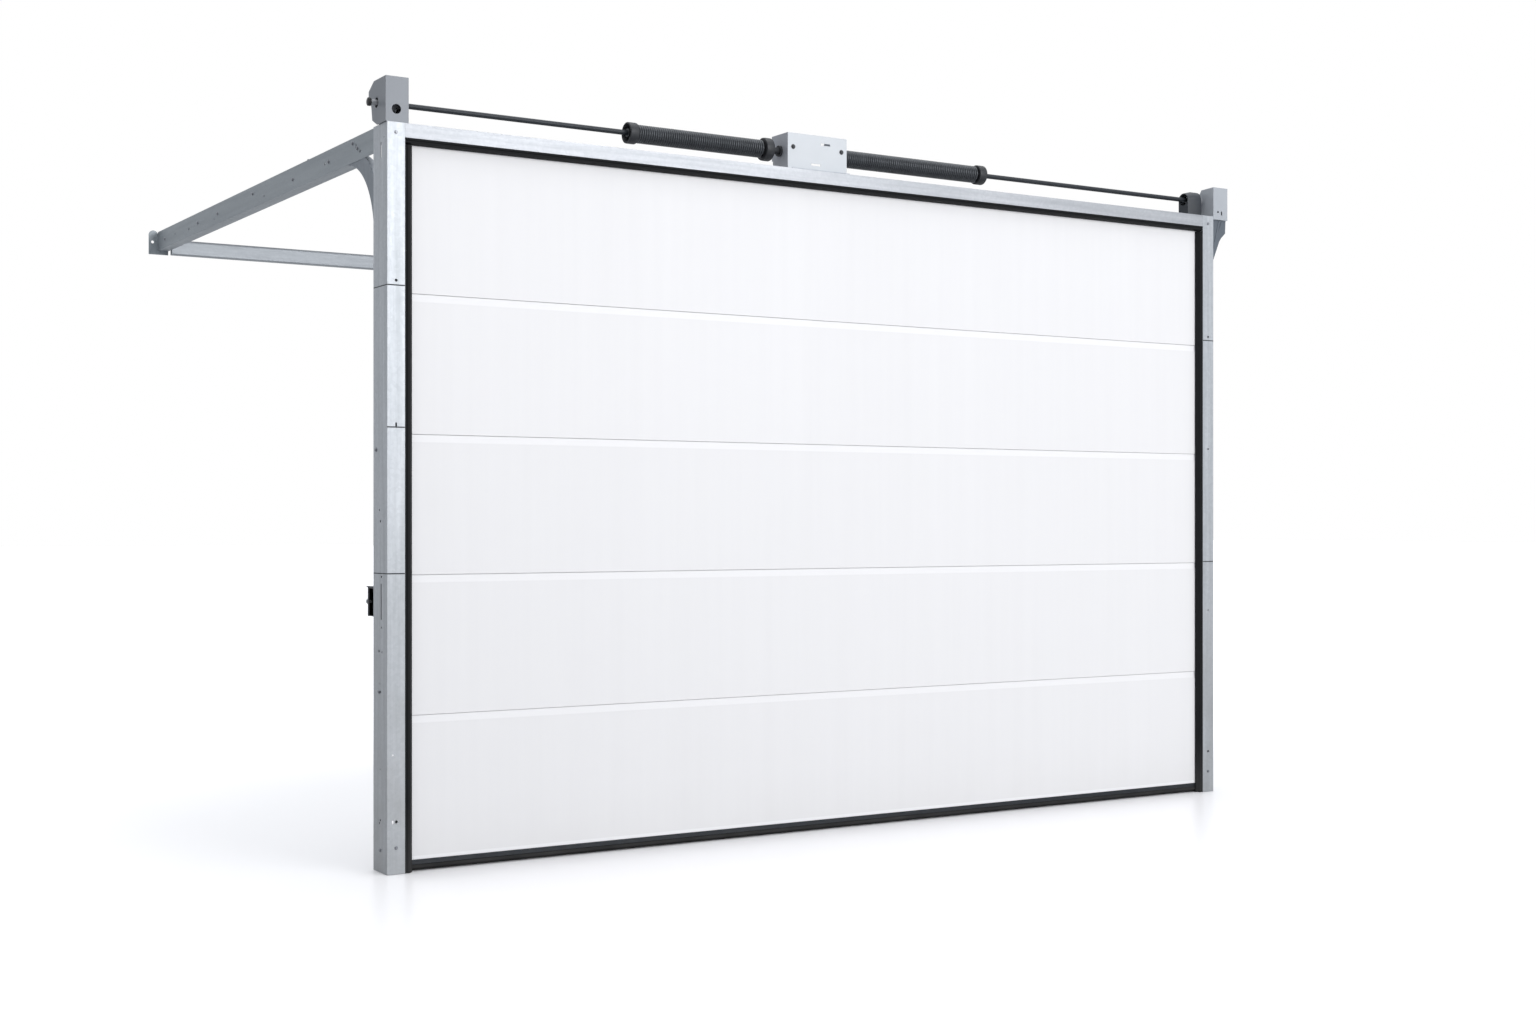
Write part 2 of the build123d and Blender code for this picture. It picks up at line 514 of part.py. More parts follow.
def hinge_leaf(x, z, d, spans, width):
    """Hinge plate and knuckles about (HINGE_Y, z); d is +1 above the joint, -1 below."""
    block((x - width / 2, x + width / 2), (20, 23), (z + d * 10, z + d * 60))
    for x0, x1 in spans:
        side_plate([(HINGE_Y + a, z + d * b) for a, b in TAB], (x + x0, x + x1))
        rod((x + x0, x + x1), HINGE_Y, z, 8)


with BuildPart() as lower_leaves:
    for z in JOINTS_Z[1:5]:
        for x in HINGE_X:
            hinge_leaf(x, z, -1, ((-30, -16), (16, 30)), 60)
            rod((x - 33, x + 33), HINGE_Y, z, 4)
pieces["hinge_lower_leaves"] = lower_leaves.part
with BuildPart() as upper_leaves:
    for z in JOINTS_Z[1:4]:
        for x in HINGE_X:
            hinge_leaf(x, z, 1, ((-15, 15),), 60)
            rod((x - 16, x + 16), HINGE_Y, z, 4 + RUN, mode=Mode.SUBTRACT)
pieces["hinge_upper_leaves"] = upper_leaves.part
with BuildPart() as top_leaves:
    z = JOINTS_Z[4]
    for x in HINGE_X:
        hinge_leaf(x, z, 1, ((-15, 15),), 60)
        rod((x - 16, x + 16), HINGE_Y, z, 4 + RUN, mode=Mode.SUBTRACT)
pieces["top_hinge_leaves"] = top_leaves.part

# Top brackets: arms on section 5 with a slot in which the top roller stem slides
SLOT_Y, SLOT_Z, SLOT_R = 63.3, (2582.0, 2627.0), 10.7
with BuildPart() as top_brackets:
    for side in (-1, 1):
        block((side * 1850, side * 1929), (22, 25), (2515, 2595))
        side_plate([(25, 2519), (25, 2595), (42, 2645), (86, 2645), (86, 2562), (60, 2545)],
                   (side * 1925, side * 1929))
        for z in SLOT_Z:
            rod((side * 1924, side * 1930), SLOT_Y, z, SLOT_R, mode=Mode.SUBTRACT)
        block((side * 1924, side * 1930), (SLOT_Y - SLOT_R, SLOT_Y + SLOT_R), SLOT_Z, mode=Mode.SUBTRACT)
pieces["top_brackets"] = top_brackets.part
with BuildPart() as top_stems:
    for side in (-1, 1):
        rod((side * 1915, side * 1998), TRACK_Y, TOP_Z, STEM_R)
        for x0, x1, r in ((1915.0, 1924.0, 14.0), (1930.0, 1936.0, 14.0), (1972.0, 1974.5, 8.0),
                          (1995.5, 1998.0, 8.0)):
            rod((side * x0, side * x1), TRACK_Y, TOP_Z, r)
pieces["top_roller_stems"] = top_stems.part

# Lock strike: angle on the leaf with bolt holes for the closed and the vented position
with BuildPart() as strike:
    block((-1947, -1944), (22, 138), (735, 979))
    block((-1944, -1900), (22, 25), (735, 979))
    for z in (LOCK_Z, LOCK_Z - LIFT):
        rod((-1949, -1942), LOCK_Y, z, 8, mode=Mode.SUBTRACT)
pieces["lock_strike"] = strike.part

for name, piece in pieces.items():
    piece.label = name
    export_step(piece, "parts/" + name + ".step")
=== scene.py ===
"""Sectional garage door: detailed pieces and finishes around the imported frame."""
import json
from math import cos, pi, radians, sin

import bmesh
import bpy
from mathutils import Matrix, Vector


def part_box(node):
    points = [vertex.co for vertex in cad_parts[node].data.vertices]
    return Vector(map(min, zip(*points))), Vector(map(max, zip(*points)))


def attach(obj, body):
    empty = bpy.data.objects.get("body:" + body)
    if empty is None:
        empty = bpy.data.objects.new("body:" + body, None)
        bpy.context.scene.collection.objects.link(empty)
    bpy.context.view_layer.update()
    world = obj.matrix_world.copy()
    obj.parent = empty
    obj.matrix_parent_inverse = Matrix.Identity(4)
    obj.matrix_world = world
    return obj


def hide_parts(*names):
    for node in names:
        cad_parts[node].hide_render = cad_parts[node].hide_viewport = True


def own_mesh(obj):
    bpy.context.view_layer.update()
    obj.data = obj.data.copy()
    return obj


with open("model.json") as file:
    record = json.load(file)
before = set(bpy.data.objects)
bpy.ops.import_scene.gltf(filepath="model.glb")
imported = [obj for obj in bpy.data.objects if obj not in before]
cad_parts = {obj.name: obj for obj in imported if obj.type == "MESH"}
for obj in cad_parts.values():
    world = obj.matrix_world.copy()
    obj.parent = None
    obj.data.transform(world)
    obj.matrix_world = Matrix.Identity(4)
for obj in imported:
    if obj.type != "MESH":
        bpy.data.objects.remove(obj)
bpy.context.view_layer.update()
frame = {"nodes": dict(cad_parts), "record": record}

# Studio: an eye-level camera to the left of the door, on a plain pale floor, with soft
# light from the front right and from above.
camera = bpy.data.objects.new("camera", bpy.data.cameras.new("camera"))
camera.location = (-4.478, -6.508, 1.244)
camera.rotation_euler = (radians(90), 0, radians(-32.1))
camera.data.sensor_width = 36.0
camera.data.lens = 45.26
camera.data.shift_y = 0.0062
camera.data.clip_end = 200
bpy.context.collection.objects.link(camera)
bpy.context.scene.camera = camera
bpy.context.scene.view_settings.view_transform = "Standard"

# The cyclorama is white to the eye but gives off less light from the left and from
# below, as flags and a matt floor do in a real studio.
world = bpy.data.worlds.new("studio")
world.use_nodes = True
sky = world.node_tree
sky.nodes["Background"].inputs["Color"].default_value = (1, 1, 1, 1)
sky.nodes["Background"].inputs["Strength"].default_value = 1.0
dim = sky.nodes.new("ShaderNodeBackground")
dim.inputs["Color"].default_value = (0.93, 0.96, 1.0, 1)
way = sky.nodes.new("ShaderNodeTexCoord")
split = sky.nodes.new("ShaderNodeSeparateXYZ")
side = sky.nodes.new("ShaderNodeMapRange")
side.inputs["From Min"].default_value = -0.9
side.inputs["From Max"].default_value = 0.5
side.inputs["To Min"].default_value = 0.50
side.inputs["To Max"].default_value = 0.84
eye = sky.nodes.new("ShaderNodeLightPath")
pick = sky.nodes.new("ShaderNodeMixShader")
sky.links.new(way.outputs["Generated"], split.inputs[0])
sky.links.new(split.outputs["X"], side.inputs["Value"])
sky.links.new(side.outputs["Result"], dim.inputs["Strength"])
sky.links.new(eye.outputs["Is Camera Ray"], pick.inputs[0])
sky.links.new(dim.outputs[0], pick.inputs[1])
sky.links.new(sky.nodes["Background"].outputs[0], pick.inputs[2])
sky.links.new(pick.outputs[0], sky.nodes["World Output"].inputs["Surface"])
bpy.context.scene.world = world


def softbox(name, place, aim, size, watts):
    """A square area light at place, turned to aim."""
    data = bpy.data.lights.new(name, "AREA")
    data.size = size
    data.energy = watts
    lamp = bpy.data.objects.new(name, data)
    lamp.location = place
    lamp.rotation_euler = (Vector(aim) - Vector(place)).to_track_quat("-Z", "Y").to_euler()
    bpy.context.collection.objects.link(lamp)


softbox("key", (2.6, -9.0, 4.8), (0, 0, 1.4), 6.0, 415)
overhead = bpy.data.lights.new("overhead", "SUN")
overhead.energy = 1.7
overhead.angle = radians(70)
overhead_lamp = bpy.data.objects.new("overhead", overhead)
overhead_lamp.location = (0, 0, 9)
bpy.context.collection.objects.link(overhead_lamp)

floor_mesh = bpy.data.meshes.new("floor")
FLOOR_HALF, FLOOR_DROP = 90, -0.001
floor_mesh.from_pydata([(x * FLOOR_HALF, y * FLOOR_HALF, FLOOR_DROP)
                        for x, y in ((-1, -1), (1, -1), (1, 1), (-1, 1))], [], [(0, 1, 2, 3)])
floor = bpy.data.objects.new("floor", floor_mesh)
bpy.context.collection.objects.link(floor)
floor_paint = bpy.data.materials.new("floor_paint")
floor_paint.use_nodes = True
tree = floor_paint.node_tree
floor_skin = tree.nodes["Principled BSDF"]
floor_skin.inputs["Roughness"].default_value = 0.30
floor_skin.inputs["Specular IOR Level"].default_value = 0.22
eye = tree.nodes.new("ShaderNodeLightPath")
tone = tree.nodes.new("ShaderNodeMix")
tone.data_type = "RGBA"
tone.inputs["A"].default_value = (0.46, 0.462, 0.47, 1)
tone.inputs["B"].default_value = (0.86, 0.853, 0.864, 1)
tree.links.new(eye.outputs["Is Camera Ray"], tone.inputs["Factor"])
tree.links.new(tone.outputs["Result"], floor_skin.inputs["Base Color"])
spot = tree.nodes.new("ShaderNodeTexCoord")
reach = tree.nodes.new("ShaderNodeVectorMath")
reach.operation = "LENGTH"
fade = tree.nodes.new("ShaderNodeMapRange")
fade.interpolation_type = "SMOOTHSTEP"
fade.inputs["From Min"].default_value = 2.2
fade.inputs["From Max"].default_value = 5.5
fade.inputs["To Max"].default_value = 0.40
glow = tree.nodes.new("ShaderNodeMath")
glow.operation = "MULTIPLY"
tree.links.new(spot.outputs["Object"], reach.inputs[0])
tree.links.new(reach.outputs["Value"], fade.inputs["Value"])
tree.links.new(fade.outputs["Result"], glow.inputs[0])
tree.links.new(eye.outputs["Is Camera Ray"], glow.inputs[1])
tree.links.new(glow.outputs[0], floor_skin.inputs["Emission Strength"])
floor_skin.inputs["Emission Color"].default_value = (1, 1, 1, 1)
floor_mesh.materials.append(floor_paint)


# Uprights: roll-formed angles of 2 mm galvanised sheet, 2.65 m tall, folded at the
# outer corner, with a return lip that grips the side seal. Punched after galvanising,
# so the hole edges are bare and sharp.
def new_group(name, inputs, outputs):
    """Empty shader group with its sockets; returns tree, group input and group output nodes."""
    tree = bpy.data.node_groups.new(name, "ShaderNodeTree")
    for kind, label, value in inputs:
        item = tree.interface.new_socket(name=label, in_out="INPUT", socket_type=kind)
        item.default_value = value
    for kind, label in outputs:
        tree.interface.new_socket(name=label, in_out="OUTPUT", socket_type=kind)
    return tree, tree.nodes.new("NodeGroupInput"), tree.nodes.new("NodeGroupOutput")


# grain: noise stretched along one direction, for drawn, rolled or brushed sheet
grain_group, g_in, g_out = new_group(
    "grain", [("NodeSocketVector", "Stretch", (1, 1, 1)), ("NodeSocketFloat", "Scale", 8.0),
              ("NodeSocketFloat", "Contrast", 1.0)], [("NodeSocketFloat", "Value")])
place = grain_group.nodes.new("ShaderNodeTexCoord")
pull = grain_group.nodes.new("ShaderNodeVectorMath")
pull.operation = "MULTIPLY"
noise = grain_group.nodes.new("ShaderNodeTexNoise")
noise.inputs["Detail"].default_value = 5.0
noise.inputs["Roughness"].default_value = 0.62
push = grain_group.nodes.new("ShaderNodeMath")
push.operation = "MULTIPLY_ADD"
centre = grain_group.nodes.new("ShaderNodeMath")
centre.operation = "SUBTRACT"
centre.inputs[1].default_value = 0.5
push.inputs[2].default_value = 0.5
push.use_clamp = True
link = grain_group.links.new
link(place.outputs["Object"], pull.inputs[0])
link(g_in.outputs["Stretch"], pull.inputs[1])
link(pull.outputs[0], noise.inputs["Vector"])
link(g_in.outputs["Scale"], noise.inputs["Scale"])
link(noise.outputs["Fac"], centre.inputs[0])
link(centre.outputs[0], push.inputs[0])
link(g_in.outputs["Contrast"], push.inputs[1])
link(push.outputs[0], g_out.inputs["Value"])

# spangle: random grey per crystal, for hot-dip zinc
spangle_group, s_in, s_out = new_group(
    "spangle", [("NodeSocketFloat", "Scale", 60.0)], [("NodeSocketFloat", "Value")])
place = spangle_group.nodes.new("ShaderNodeTexCoord")
cells = spangle_group.nodes.new("ShaderNodeTexVoronoi")
split = spangle_group.nodes.new("ShaderNodeSeparateColor")
link = spangle_group.links.new
link(place.outputs["Object"], cells.inputs["Vector"])
link(s_in.outputs["Scale"], cells.inputs["Scale"])
link(cells.outputs["Color"], split.inputs["Color"])
link(split.outputs["Red"], s_out.inputs["Value"])

# dust_and_shade: a mask strongest at the floor that thins out upwards; dusting on the seals and the
# leaf, painted shade on the uprights
dust_and_shade_group, d_in, d_out = new_group(
    "dust_and_shade", [("NodeSocketFloat", "Height", 0.3), ("NodeSocketFloat", "Amount", 0.3)],
    [("NodeSocketFloat", "Value")])
place = dust_and_shade_group.nodes.new("ShaderNodeTexCoord")
axes = dust_and_shade_group.nodes.new("ShaderNodeSeparateXYZ")
rise = dust_and_shade_group.nodes.new("ShaderNodeMapRange")
rise.inputs["To Min"].default_value = 1.0
rise.inputs["To Max"].default_value = 0.0
cloud = dust_and_shade_group.nodes.new("ShaderNodeTexNoise")
cloud.inputs["Scale"].default_value = 7.0
cloud.inputs["Detail"].default_value = 6.0
both = dust_and_shade_group.nodes.new("ShaderNodeMath")
both.operation = "MULTIPLY"
scaled = dust_and_shade_group.nodes.new("ShaderNodeMath")
scaled.operation = "MULTIPLY"
scaled.use_clamp = True
link = dust_and_shade_group.links.new
link(place.outputs["Object"], axes.inputs[0])
link(axes.outputs["Z"], rise.inputs["Value"])
link(d_in.outputs["Height"], rise.inputs["From Max"])
link(place.outputs["Object"], cloud.inputs["Vector"])
link(rise.outputs["Result"], both.inputs[0])
link(cloud.outputs["Fac"], both.inputs[1])
link(both.outputs[0], scaled.inputs[0])
link(d_in.outputs["Amount"], scaled.inputs[1])
link(scaled.outputs[0], d_out.inputs["Value"])


class Finish:
    """A material under construction: its Principled shader and small wiring helpers."""

    def __init__(self, name, metallic, **constants):
        self.material = bpy.data.materials.new(name)
        self.material.use_nodes = True
        self.tree = self.material.node_tree
        self.skin = self.tree.nodes["Principled BSDF"]
        self.skin.inputs["Metallic"].default_value = metallic
        for socket, value in constants.items():
            self.skin.inputs[socket.replace("_", " ")].default_value = value

    def group(self, tree, **values):
        """Value output of a shared group placed with its own inputs."""
        node = self.tree.nodes.new("ShaderNodeGroup")
        node.node_tree = tree
        for socket, value in values.items():
            node.inputs[socket].default_value = value
        return node.outputs["Value"]

    def blend(self, factor, low, high):
        """Colour between low and high by factor; low may be an output."""
        node = self.tree.nodes.new("ShaderNodeMix")
        node.data_type = "RGBA"
        self.tree.links.new(factor, node.inputs["Factor"])
        for value, socket in ((low, node.inputs["A"]), (high, node.inputs["B"])):
            if isinstance(value, bpy.types.NodeSocket):
                self.tree.links.new(value, socket)
            else:
                socket.default_value = (*value, 1)
        return node.outputs["Result"]

    def span(self, factor, low, high):
        """A 0 to 1 factor stretched to run from low to high."""
        node = self.tree.nodes.new("ShaderNodeMapRange")
        self.tree.links.new(factor, node.inputs["Value"])
        node.inputs["To Min"].default_value = low
        node.inputs["To Max"].default_value = high
        return node.outputs["Result"]

    def colour(self, output):
        self.tree.links.new(output, self.skin.inputs["Base Color"])

    def rough(self, output):
        self.tree.links.new(output, self.skin.inputs["Roughness"])

    def bump(self, height, depth, strength):
        """Relief of a depth in metres, laid over any relief already there."""
        node = self.tree.nodes.new("ShaderNodeBump")
        node.inputs["Strength"].default_value = strength
        node.inputs["Distance"].default_value = depth
        self.tree.links.new(height, node.inputs["Height"])
        if self.skin.inputs["Normal"].is_linked:
            self.tree.links.new(self.skin.inputs["Normal"].links[0].from_socket, node.inputs["Normal"])
        self.tree.links.new(node.outputs["Normal"], self.skin.inputs["Normal"])


def galvanised(name, along, dark, light, spangle=0.22, dust_and_shade_height=0.35):
    """Zinc-coated sheet rolled along one axis, greyer up to a height above the floor; on the uprights
    this is painted shade.
    """
    f = Finish(name, 0.6, Specular_IOR_Level=0.5)
    wide = f.group(grain_group, Stretch=along, Scale=5.0, Contrast=1.7)
    fine = f.group(grain_group, Stretch=along, Scale=70.0, Contrast=1.3)
    crystal = f.group(spangle_group, Scale=95.0)
    tone = f.blend(wide, dark, light)
    tone = f.blend(f.span(crystal, 0.0, spangle), tone, (0.30, 0.32, 0.35))
    # grey towards the floor up to the given height: painted shade on the uprights, which take it up to
    # 1.5 m
    tone = f.blend(f.group(dust_and_shade_group, Height=dust_and_shade_height, Amount=0.9), tone, (0.33, 0.33, 0.33))
    f.colour(tone)
    f.rough(f.span(fine, 0.34, 0.54))
    f.bump(fine, 0.0002, 0.5)
    return f.material


PUNCH_DEPTH = 0.012


def softened(node, width, material, holes=(), seams=()):
    """Copy of a CAD node with merged faces, drilled holes, scored seams and rounded edges."""
    source = frame["nodes"][node]
    mesh = source.data.copy()
    mesh.materials.clear()
    shape = bmesh.new()
    shape.from_mesh(mesh)
    bmesh.ops.remove_doubles(shape, verts=shape.verts, dist=2e-6)
    bmesh.ops.dissolve_limit(shape, angle_limit=radians(0.6), verts=shape.verts, edges=shape.edges)
    shape.to_mesh(mesh)
    shape.free()
    mesh.shade_smooth()
    label = node + "_body"
    piece = bpy.data.objects.new(label, mesh)
    bpy.context.collection.objects.link(piece)
    cutter = None
    if holes or seams:
        cutter_mesh = bpy.data.meshes.new("cutter")
        tool = bmesh.new()
        for axis, spot, size, length in holes:
            turn = {"x": Matrix.Rotation(pi / 2, 4, "Y"), "y": Matrix.Rotation(pi / 2, 4, "X")}[axis]
            for dz in ((-0.5, 0.5) if length else (0,)):
                centre_at = Vector(spot) + Vector((0, 0, dz * length))
                bmesh.ops.create_cone(tool, cap_ends=True, segments=20, radius1=size / 2,
                                      radius2=size / 2, depth=PUNCH_DEPTH,
                                      matrix=Matrix.Translation(centre_at) @ turn)
            if length:
                wide = ((PUNCH_DEPTH, size, length) if axis == "x" else
                        (size, PUNCH_DEPTH, length))
                bmesh.ops.create_cube(tool, size=1.0, matrix=Matrix.Translation(spot)
                                      @ Matrix.Diagonal((*wide, 1)))
        for spot, size in seams:
            bmesh.ops.create_cube(tool, size=1.0, matrix=Matrix.Translation(spot)
                                  @ Matrix.Diagonal((*size, 1)))
        tool.to_mesh(cutter_mesh)
        tool.free()
        cutter = bpy.data.objects.new("cutter", cutter_mesh)
        bpy.context.collection.objects.link(cutter)
        cut = piece.modifiers.new("punch", "BOOLEAN")
        cut.object = cutter
        cut.solver = "EXACT"
        cut.use_self = True
    edge = piece.modifiers.new("fold", "BEVEL")
    edge.width = width
    edge.segments = 2
    edge.limit_method = "ANGLE"
    edge.angle_limit = radians(38)
    edge.use_clamp_overlap = True
    level = piece.modifiers.new("flat_faces", "WEIGHTED_NORMAL")
    level.keep_sharp = True
    level.weight = 100
    bpy.context.view_layer.update()
    graph = bpy.context.evaluated_depsgraph_get()
    final = bpy.data.meshes.new_from_object(piece.evaluated_get(graph))
    bpy.data.objects.remove(piece)
    if cutter:
        bpy.data.objects.remove(cutter)
    return place_piece(label, final, material, (node,))


def place_piece(label, mesh, material, nodes, body=None, slot=None):
    """Link a finished mesh as a piece that stands for the given CAD nodes."""
    mesh.name = label
    mesh.materials.clear()
    mesh.materials.append(material)
    piece = bpy.data.objects.new(label, mesh)
    bpy.context.collection.objects.link(piece)
    if body is None:
        body = next(b for b, members in frame["record"]["behaviour"]["bodies"].items()
                    if nodes[0] in members)
    if slot is None:
        slot = next(s["material_slot"] for s in frame["record"]["subparts"] if s["node"] == nodes[0])
    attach(piece, body)
    if not label.startswith("extra_"):
        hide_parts(*nodes)
    return piece


# the uprights go grey up to 1.5 m above the floor: painted shade where the floor is reflected
zinc_upright = galvanised("zinc_upright", (9, 9, 0.35), (0.42, 0.445, 0.47),
                          (0.63, 0.655, 0.69), 0.22, 1.5)
# outer face of the webs and front face of the flanges
WEB_FACE, FRONT_FACE = 2.005, -0.045
FLANGE_MID, SEAM_MID = 1.971, 1.9715
# depth from the leaf's mid-plane, height, width and slot length of each punched hole
WEB_HOLES = ((0.028, 1.285, 0.008, 0), (0.033, 0.784, 0.011, 0), (0.004, 0.782, 0.008, 0),
             (0.023, 0.668, 0.006, 0), (0.023, 0.366, 0.006, 0), (0.028, 0.174, 0.009, 0),
             (0.013, 2.560, 0.008, 0.05), (0.009, 0.868, 0.008, 0), (0.009, 1.048, 0.010, 0),
             (-0.016, 2.600, 0.006, 0))
# distance from the middle, height, width and slot length
LEFT_FLANGE_HOLES = ((-1.983, 0.420, 0.006, 0), (-1.983, 0.184, 0.006, 0.008),
                     (-FLANGE_MID, 1.585, 0.006, 0.012))
RIGHT_FLANGE_HOLES = ((FLANGE_MID, 1.578, 0.009, 0), (FLANGE_MID, 0.836, 0.007, 0))
SEAM_HEIGHTS = (1.060, 1.577, 2.078)
FLANGE_SEAM, WEB_SEAM = (0.0660, 0.0030, 0.0045), (0.0024, 0.1320, 0.0036)
left_seams = [((-SEAM_MID, FRONT_FACE, z), FLANGE_SEAM) for z in SEAM_HEIGHTS]
left_seams += [((-WEB_FACE, 0.0215, z), WEB_SEAM) for z in SEAM_HEIGHTS[::2]]
right_seams = [((SEAM_MID, FRONT_FACE, z), FLANGE_SEAM) for z in SEAM_HEIGHTS[::2]]
softened("left_upright", 0.0007, zinc_upright,
         [("x", (-WEB_FACE, y, z), size, slot) for y, z, size, slot in WEB_HOLES]
         + [("y", (x, FRONT_FACE, z), size, slot) for x, z, size, slot in LEFT_FLANGE_HOLES],
         left_seams)
softened("right_upright", 0.0007, zinc_upright,
         [("y", (x, FRONT_FACE, z), size, slot) for x, z, size, slot in RIGHT_FLANGE_HOLES],
         right_seams)

# Header and foot plates: a channel of the same sheet screwed between the uprights,
# and welded anchor tabs that stand on the floor.
zinc_header = galvanised("zinc_header", (0.35, 9, 9), (0.37, 0.385, 0.41), (0.55, 0.565, 0.595))
softened("header", 0.0007, zinc_header)
softened("foot_plates", 0.0006, zinc_upright)

# Roller tracks: cold-rolled C-sections, straight beside the leaf, bent to a quarter
# circle above it, and twin channels overhead. The lips hold the roller wheels.
zinc_track = galvanised("zinc_track", (9, 9, 0.5), (0.19, 0.21, 0.24), (0.28, 0.31, 0.345), 0.3)
zinc_rail = galvanised("zinc_rail", (9, 0.35, 9), (0.27, 0.30, 0.325), (0.38, 0.415, 0.44), 0.3)
for side in ("left", "right"):
    softened(side + "_vertical_track", 0.0006, zinc_track)
    softened(side + "_curved_track", 0.0006, zinc_track)
RAIL_HOLES = ((0.602, 2.602, 0.011, 0), (0.266, 2.612, 0.010, 0.012), (0.224, 2.590, 0.012, 0),
              (1.349, 2.587, 0.010, 0), (2.064, 2.587, 0.010, 0), (2.465, 2.594, 0.014, 0),
              (2.700, 2.602, 0.009, 0))
softened("left_horizontal_track", 0.0006, zinc_rail,
         [("x", (-WEB_FACE, y, z), size, slot) for y, z, size, slot in RAIL_HOLES])
softened("right_horizontal_track", 0.0006, zinc_rail)

# Rear spreader and end plates: a channel that holds the tracks apart, and laser-cut
# plates with a hole for the ceiling hanger.
zinc_spreader = galvanised("zinc_spreader", (0.35, 9, 9), (0.30, 0.32, 0.345), (0.44, 0.465, 0.49))
softened("rear_spreader", 0.0007, zinc_spreader)
softened("rear_end_plates", 0.0008, zinc_rail)


# Seals: extruded black rubber with two grip ribs and a soft lip that rests against
# the leaf. The skin is matt, a little chalky towards the floor.
def rubber(name, tone=0.008):
    f = Finish(name, 0.0, Specular_IOR_Level=0.16)
    cloud = f.group(grain_group, Stretch=(1, 1, 1), Scale=35.0, Contrast=1.6)
    fine = f.group(grain_group, Stretch=(1, 1, 1), Scale=420.0, Contrast=1.2)
    base = f.blend(cloud, (tone * 0.8, tone * 0.85, tone * 0.95), (tone * 1.5, tone * 1.6, tone * 1.75))
    dusty = f.group(dust_and_shade_group, Height=0.25, Amount=0.3)
    f.colour(f.blend(dusty, base, (0.16, 0.155, 0.15)))
    f.rough(f.span(cloud, 0.50, 0.72))
    f.bump(fine, 0.0003, 0.5)
    return f.material


seal_rubber = rubber("seal_rubber")
softened("side_seals", 0.0006, seal_rubber)
softened("top_seal", 0.0006, seal_rubber)


# Housings: folded 2 mm steel covers with a baked grey coat over the drum and the
# bearing, a ribbed gusset under the right one, and a moulded tunnel over the right drum.
def coated(name, tone, rough, speck=0.12, metallic=0.15):
    """Powder coat: even colour, fine orange-peel relief and faint handling marks."""
    f = Finish(name, metallic, Specular_IOR_Level=0.45)
    cloud = f.group(grain_group, Stretch=(1, 1, 1), Scale=4.0, Contrast=1.5)
    peel = f.group(grain_group, Stretch=(1, 1, 1), Scale=260.0, Contrast=1.0)
    low = tuple(c * (1 - speck) for c in tone)
    high = tuple(min(1.0, c * (1 + speck)) for c in tone)
    f.colour(f.blend(cloud, low, high))
    f.rough(f.span(peel, rough - 0.07, rough + 0.09))
    f.bump(peel, 0.0002, 0.45)
    return f.material


# one grey coat in two copies: painted shade darkens the left housing, painted light brightens the right
# one
shaded_housing_coat = coated("shaded_housing_coat", (0.24, 0.255, 0.28), 0.40, 0.07)
lit_housing_coat = coated("lit_housing_coat", (0.44, 0.465, 0.50), 0.40, 0.07)
# the gusset's grey is dark as painted shade on its shadow side
shaded_gusset_coat = coated("shaded_gusset_coat", (0.115, 0.135, 0.16), 0.45)
softened("left_drum_housing", 0.0012, shaded_housing_coat)
softened("right_bearing_housing", 0.0012, lit_housing_coat,
         [("y", (2.035, FRONT_FACE, 2.676), 0.009, 0), ("y", (2.058, FRONT_FACE, 2.671), 0.007, 0.012)])
softened("right_gusset", 0.0008, shaded_gusset_coat)
guard_plastic = coated("guard_plastic", (0.035, 0.041, 0.05), 0.45, 0.2, 0.0)
softened("right_drum_guard", 0.0012, guard_plastic)

# Centre bracket and cover: a folded bracket bolted to the header, with a pale coated
# cover screwed on from the front.
zinc_bracket = galvanised("zinc_bracket", (4, 4, 4), (0.36, 0.39, 0.43), (0.52, 0.55, 0.60))
softened("centre_bracket", 0.0008, zinc_bracket)
cover_coat = coated("cover_coat", (0.57, 0.595, 0.625), 0.40, 0.05)
shaded_side_coat = coated("shaded_side_coat", (0.40, 0.415, 0.455), 0.42, 0.08)
cover = softened("centre_cover", 0.0010, cover_coat)
# faces turned sideways take a darker copy of the coat: painted shade on the cover's sides
cover.data.materials.append(shaded_side_coat)
for face in cover.data.polygons:
    face.material_index = 1 if abs(face.normal.x) > 0.5 else 0


# Screws and bolts: zinc-plated hexagon heads on round washers, one at each point, and
# blackened round heads on the centre cover.
def black_steel(name, tone, rough, metallic=0.35):
    """Black oxide or paint over steel, with a thin oily sheen."""
    f = Finish(name, metallic, Specular_IOR_Level=0.5)
    cloud = f.group(grain_group, Stretch=(1, 1, 1), Scale=22.0, Contrast=1.5)
    fine = f.group(grain_group, Stretch=(1, 5, 5), Scale=160.0, Contrast=1.2)
    f.colour(f.blend(cloud, tuple(c * 0.75 for c in tone), tuple(c * 1.35 for c in tone)))
    f.rough(f.span(fine, rough - 0.08, rough + 0.12))
    f.bump(fine, 0.0002, 0.3)
    return f.material


def shape_tree(name, inputs):
    """Empty Geometry Nodes tree with a geometry in and out and named inputs."""
    tree = bpy.data.node_groups.new(name, "GeometryNodeTree")
    tree.interface.new_socket(name="Geometry", in_out="INPUT", socket_type="NodeSocketGeometry")
    keys = {}
    for kind, label, value in inputs:
        item = tree.interface.new_socket(name=label, in_out="INPUT", socket_type=kind)
        if value is not None:
            item.default_value = value
        keys[label] = item.identifier
    tree.interface.new_socket(name="Geometry", in_out="OUTPUT", socket_type="NodeSocketGeometry")
    return tree, keys, tree.nodes.new("NodeGroupInput"), tree.nodes.new("NodeGroupOutput")


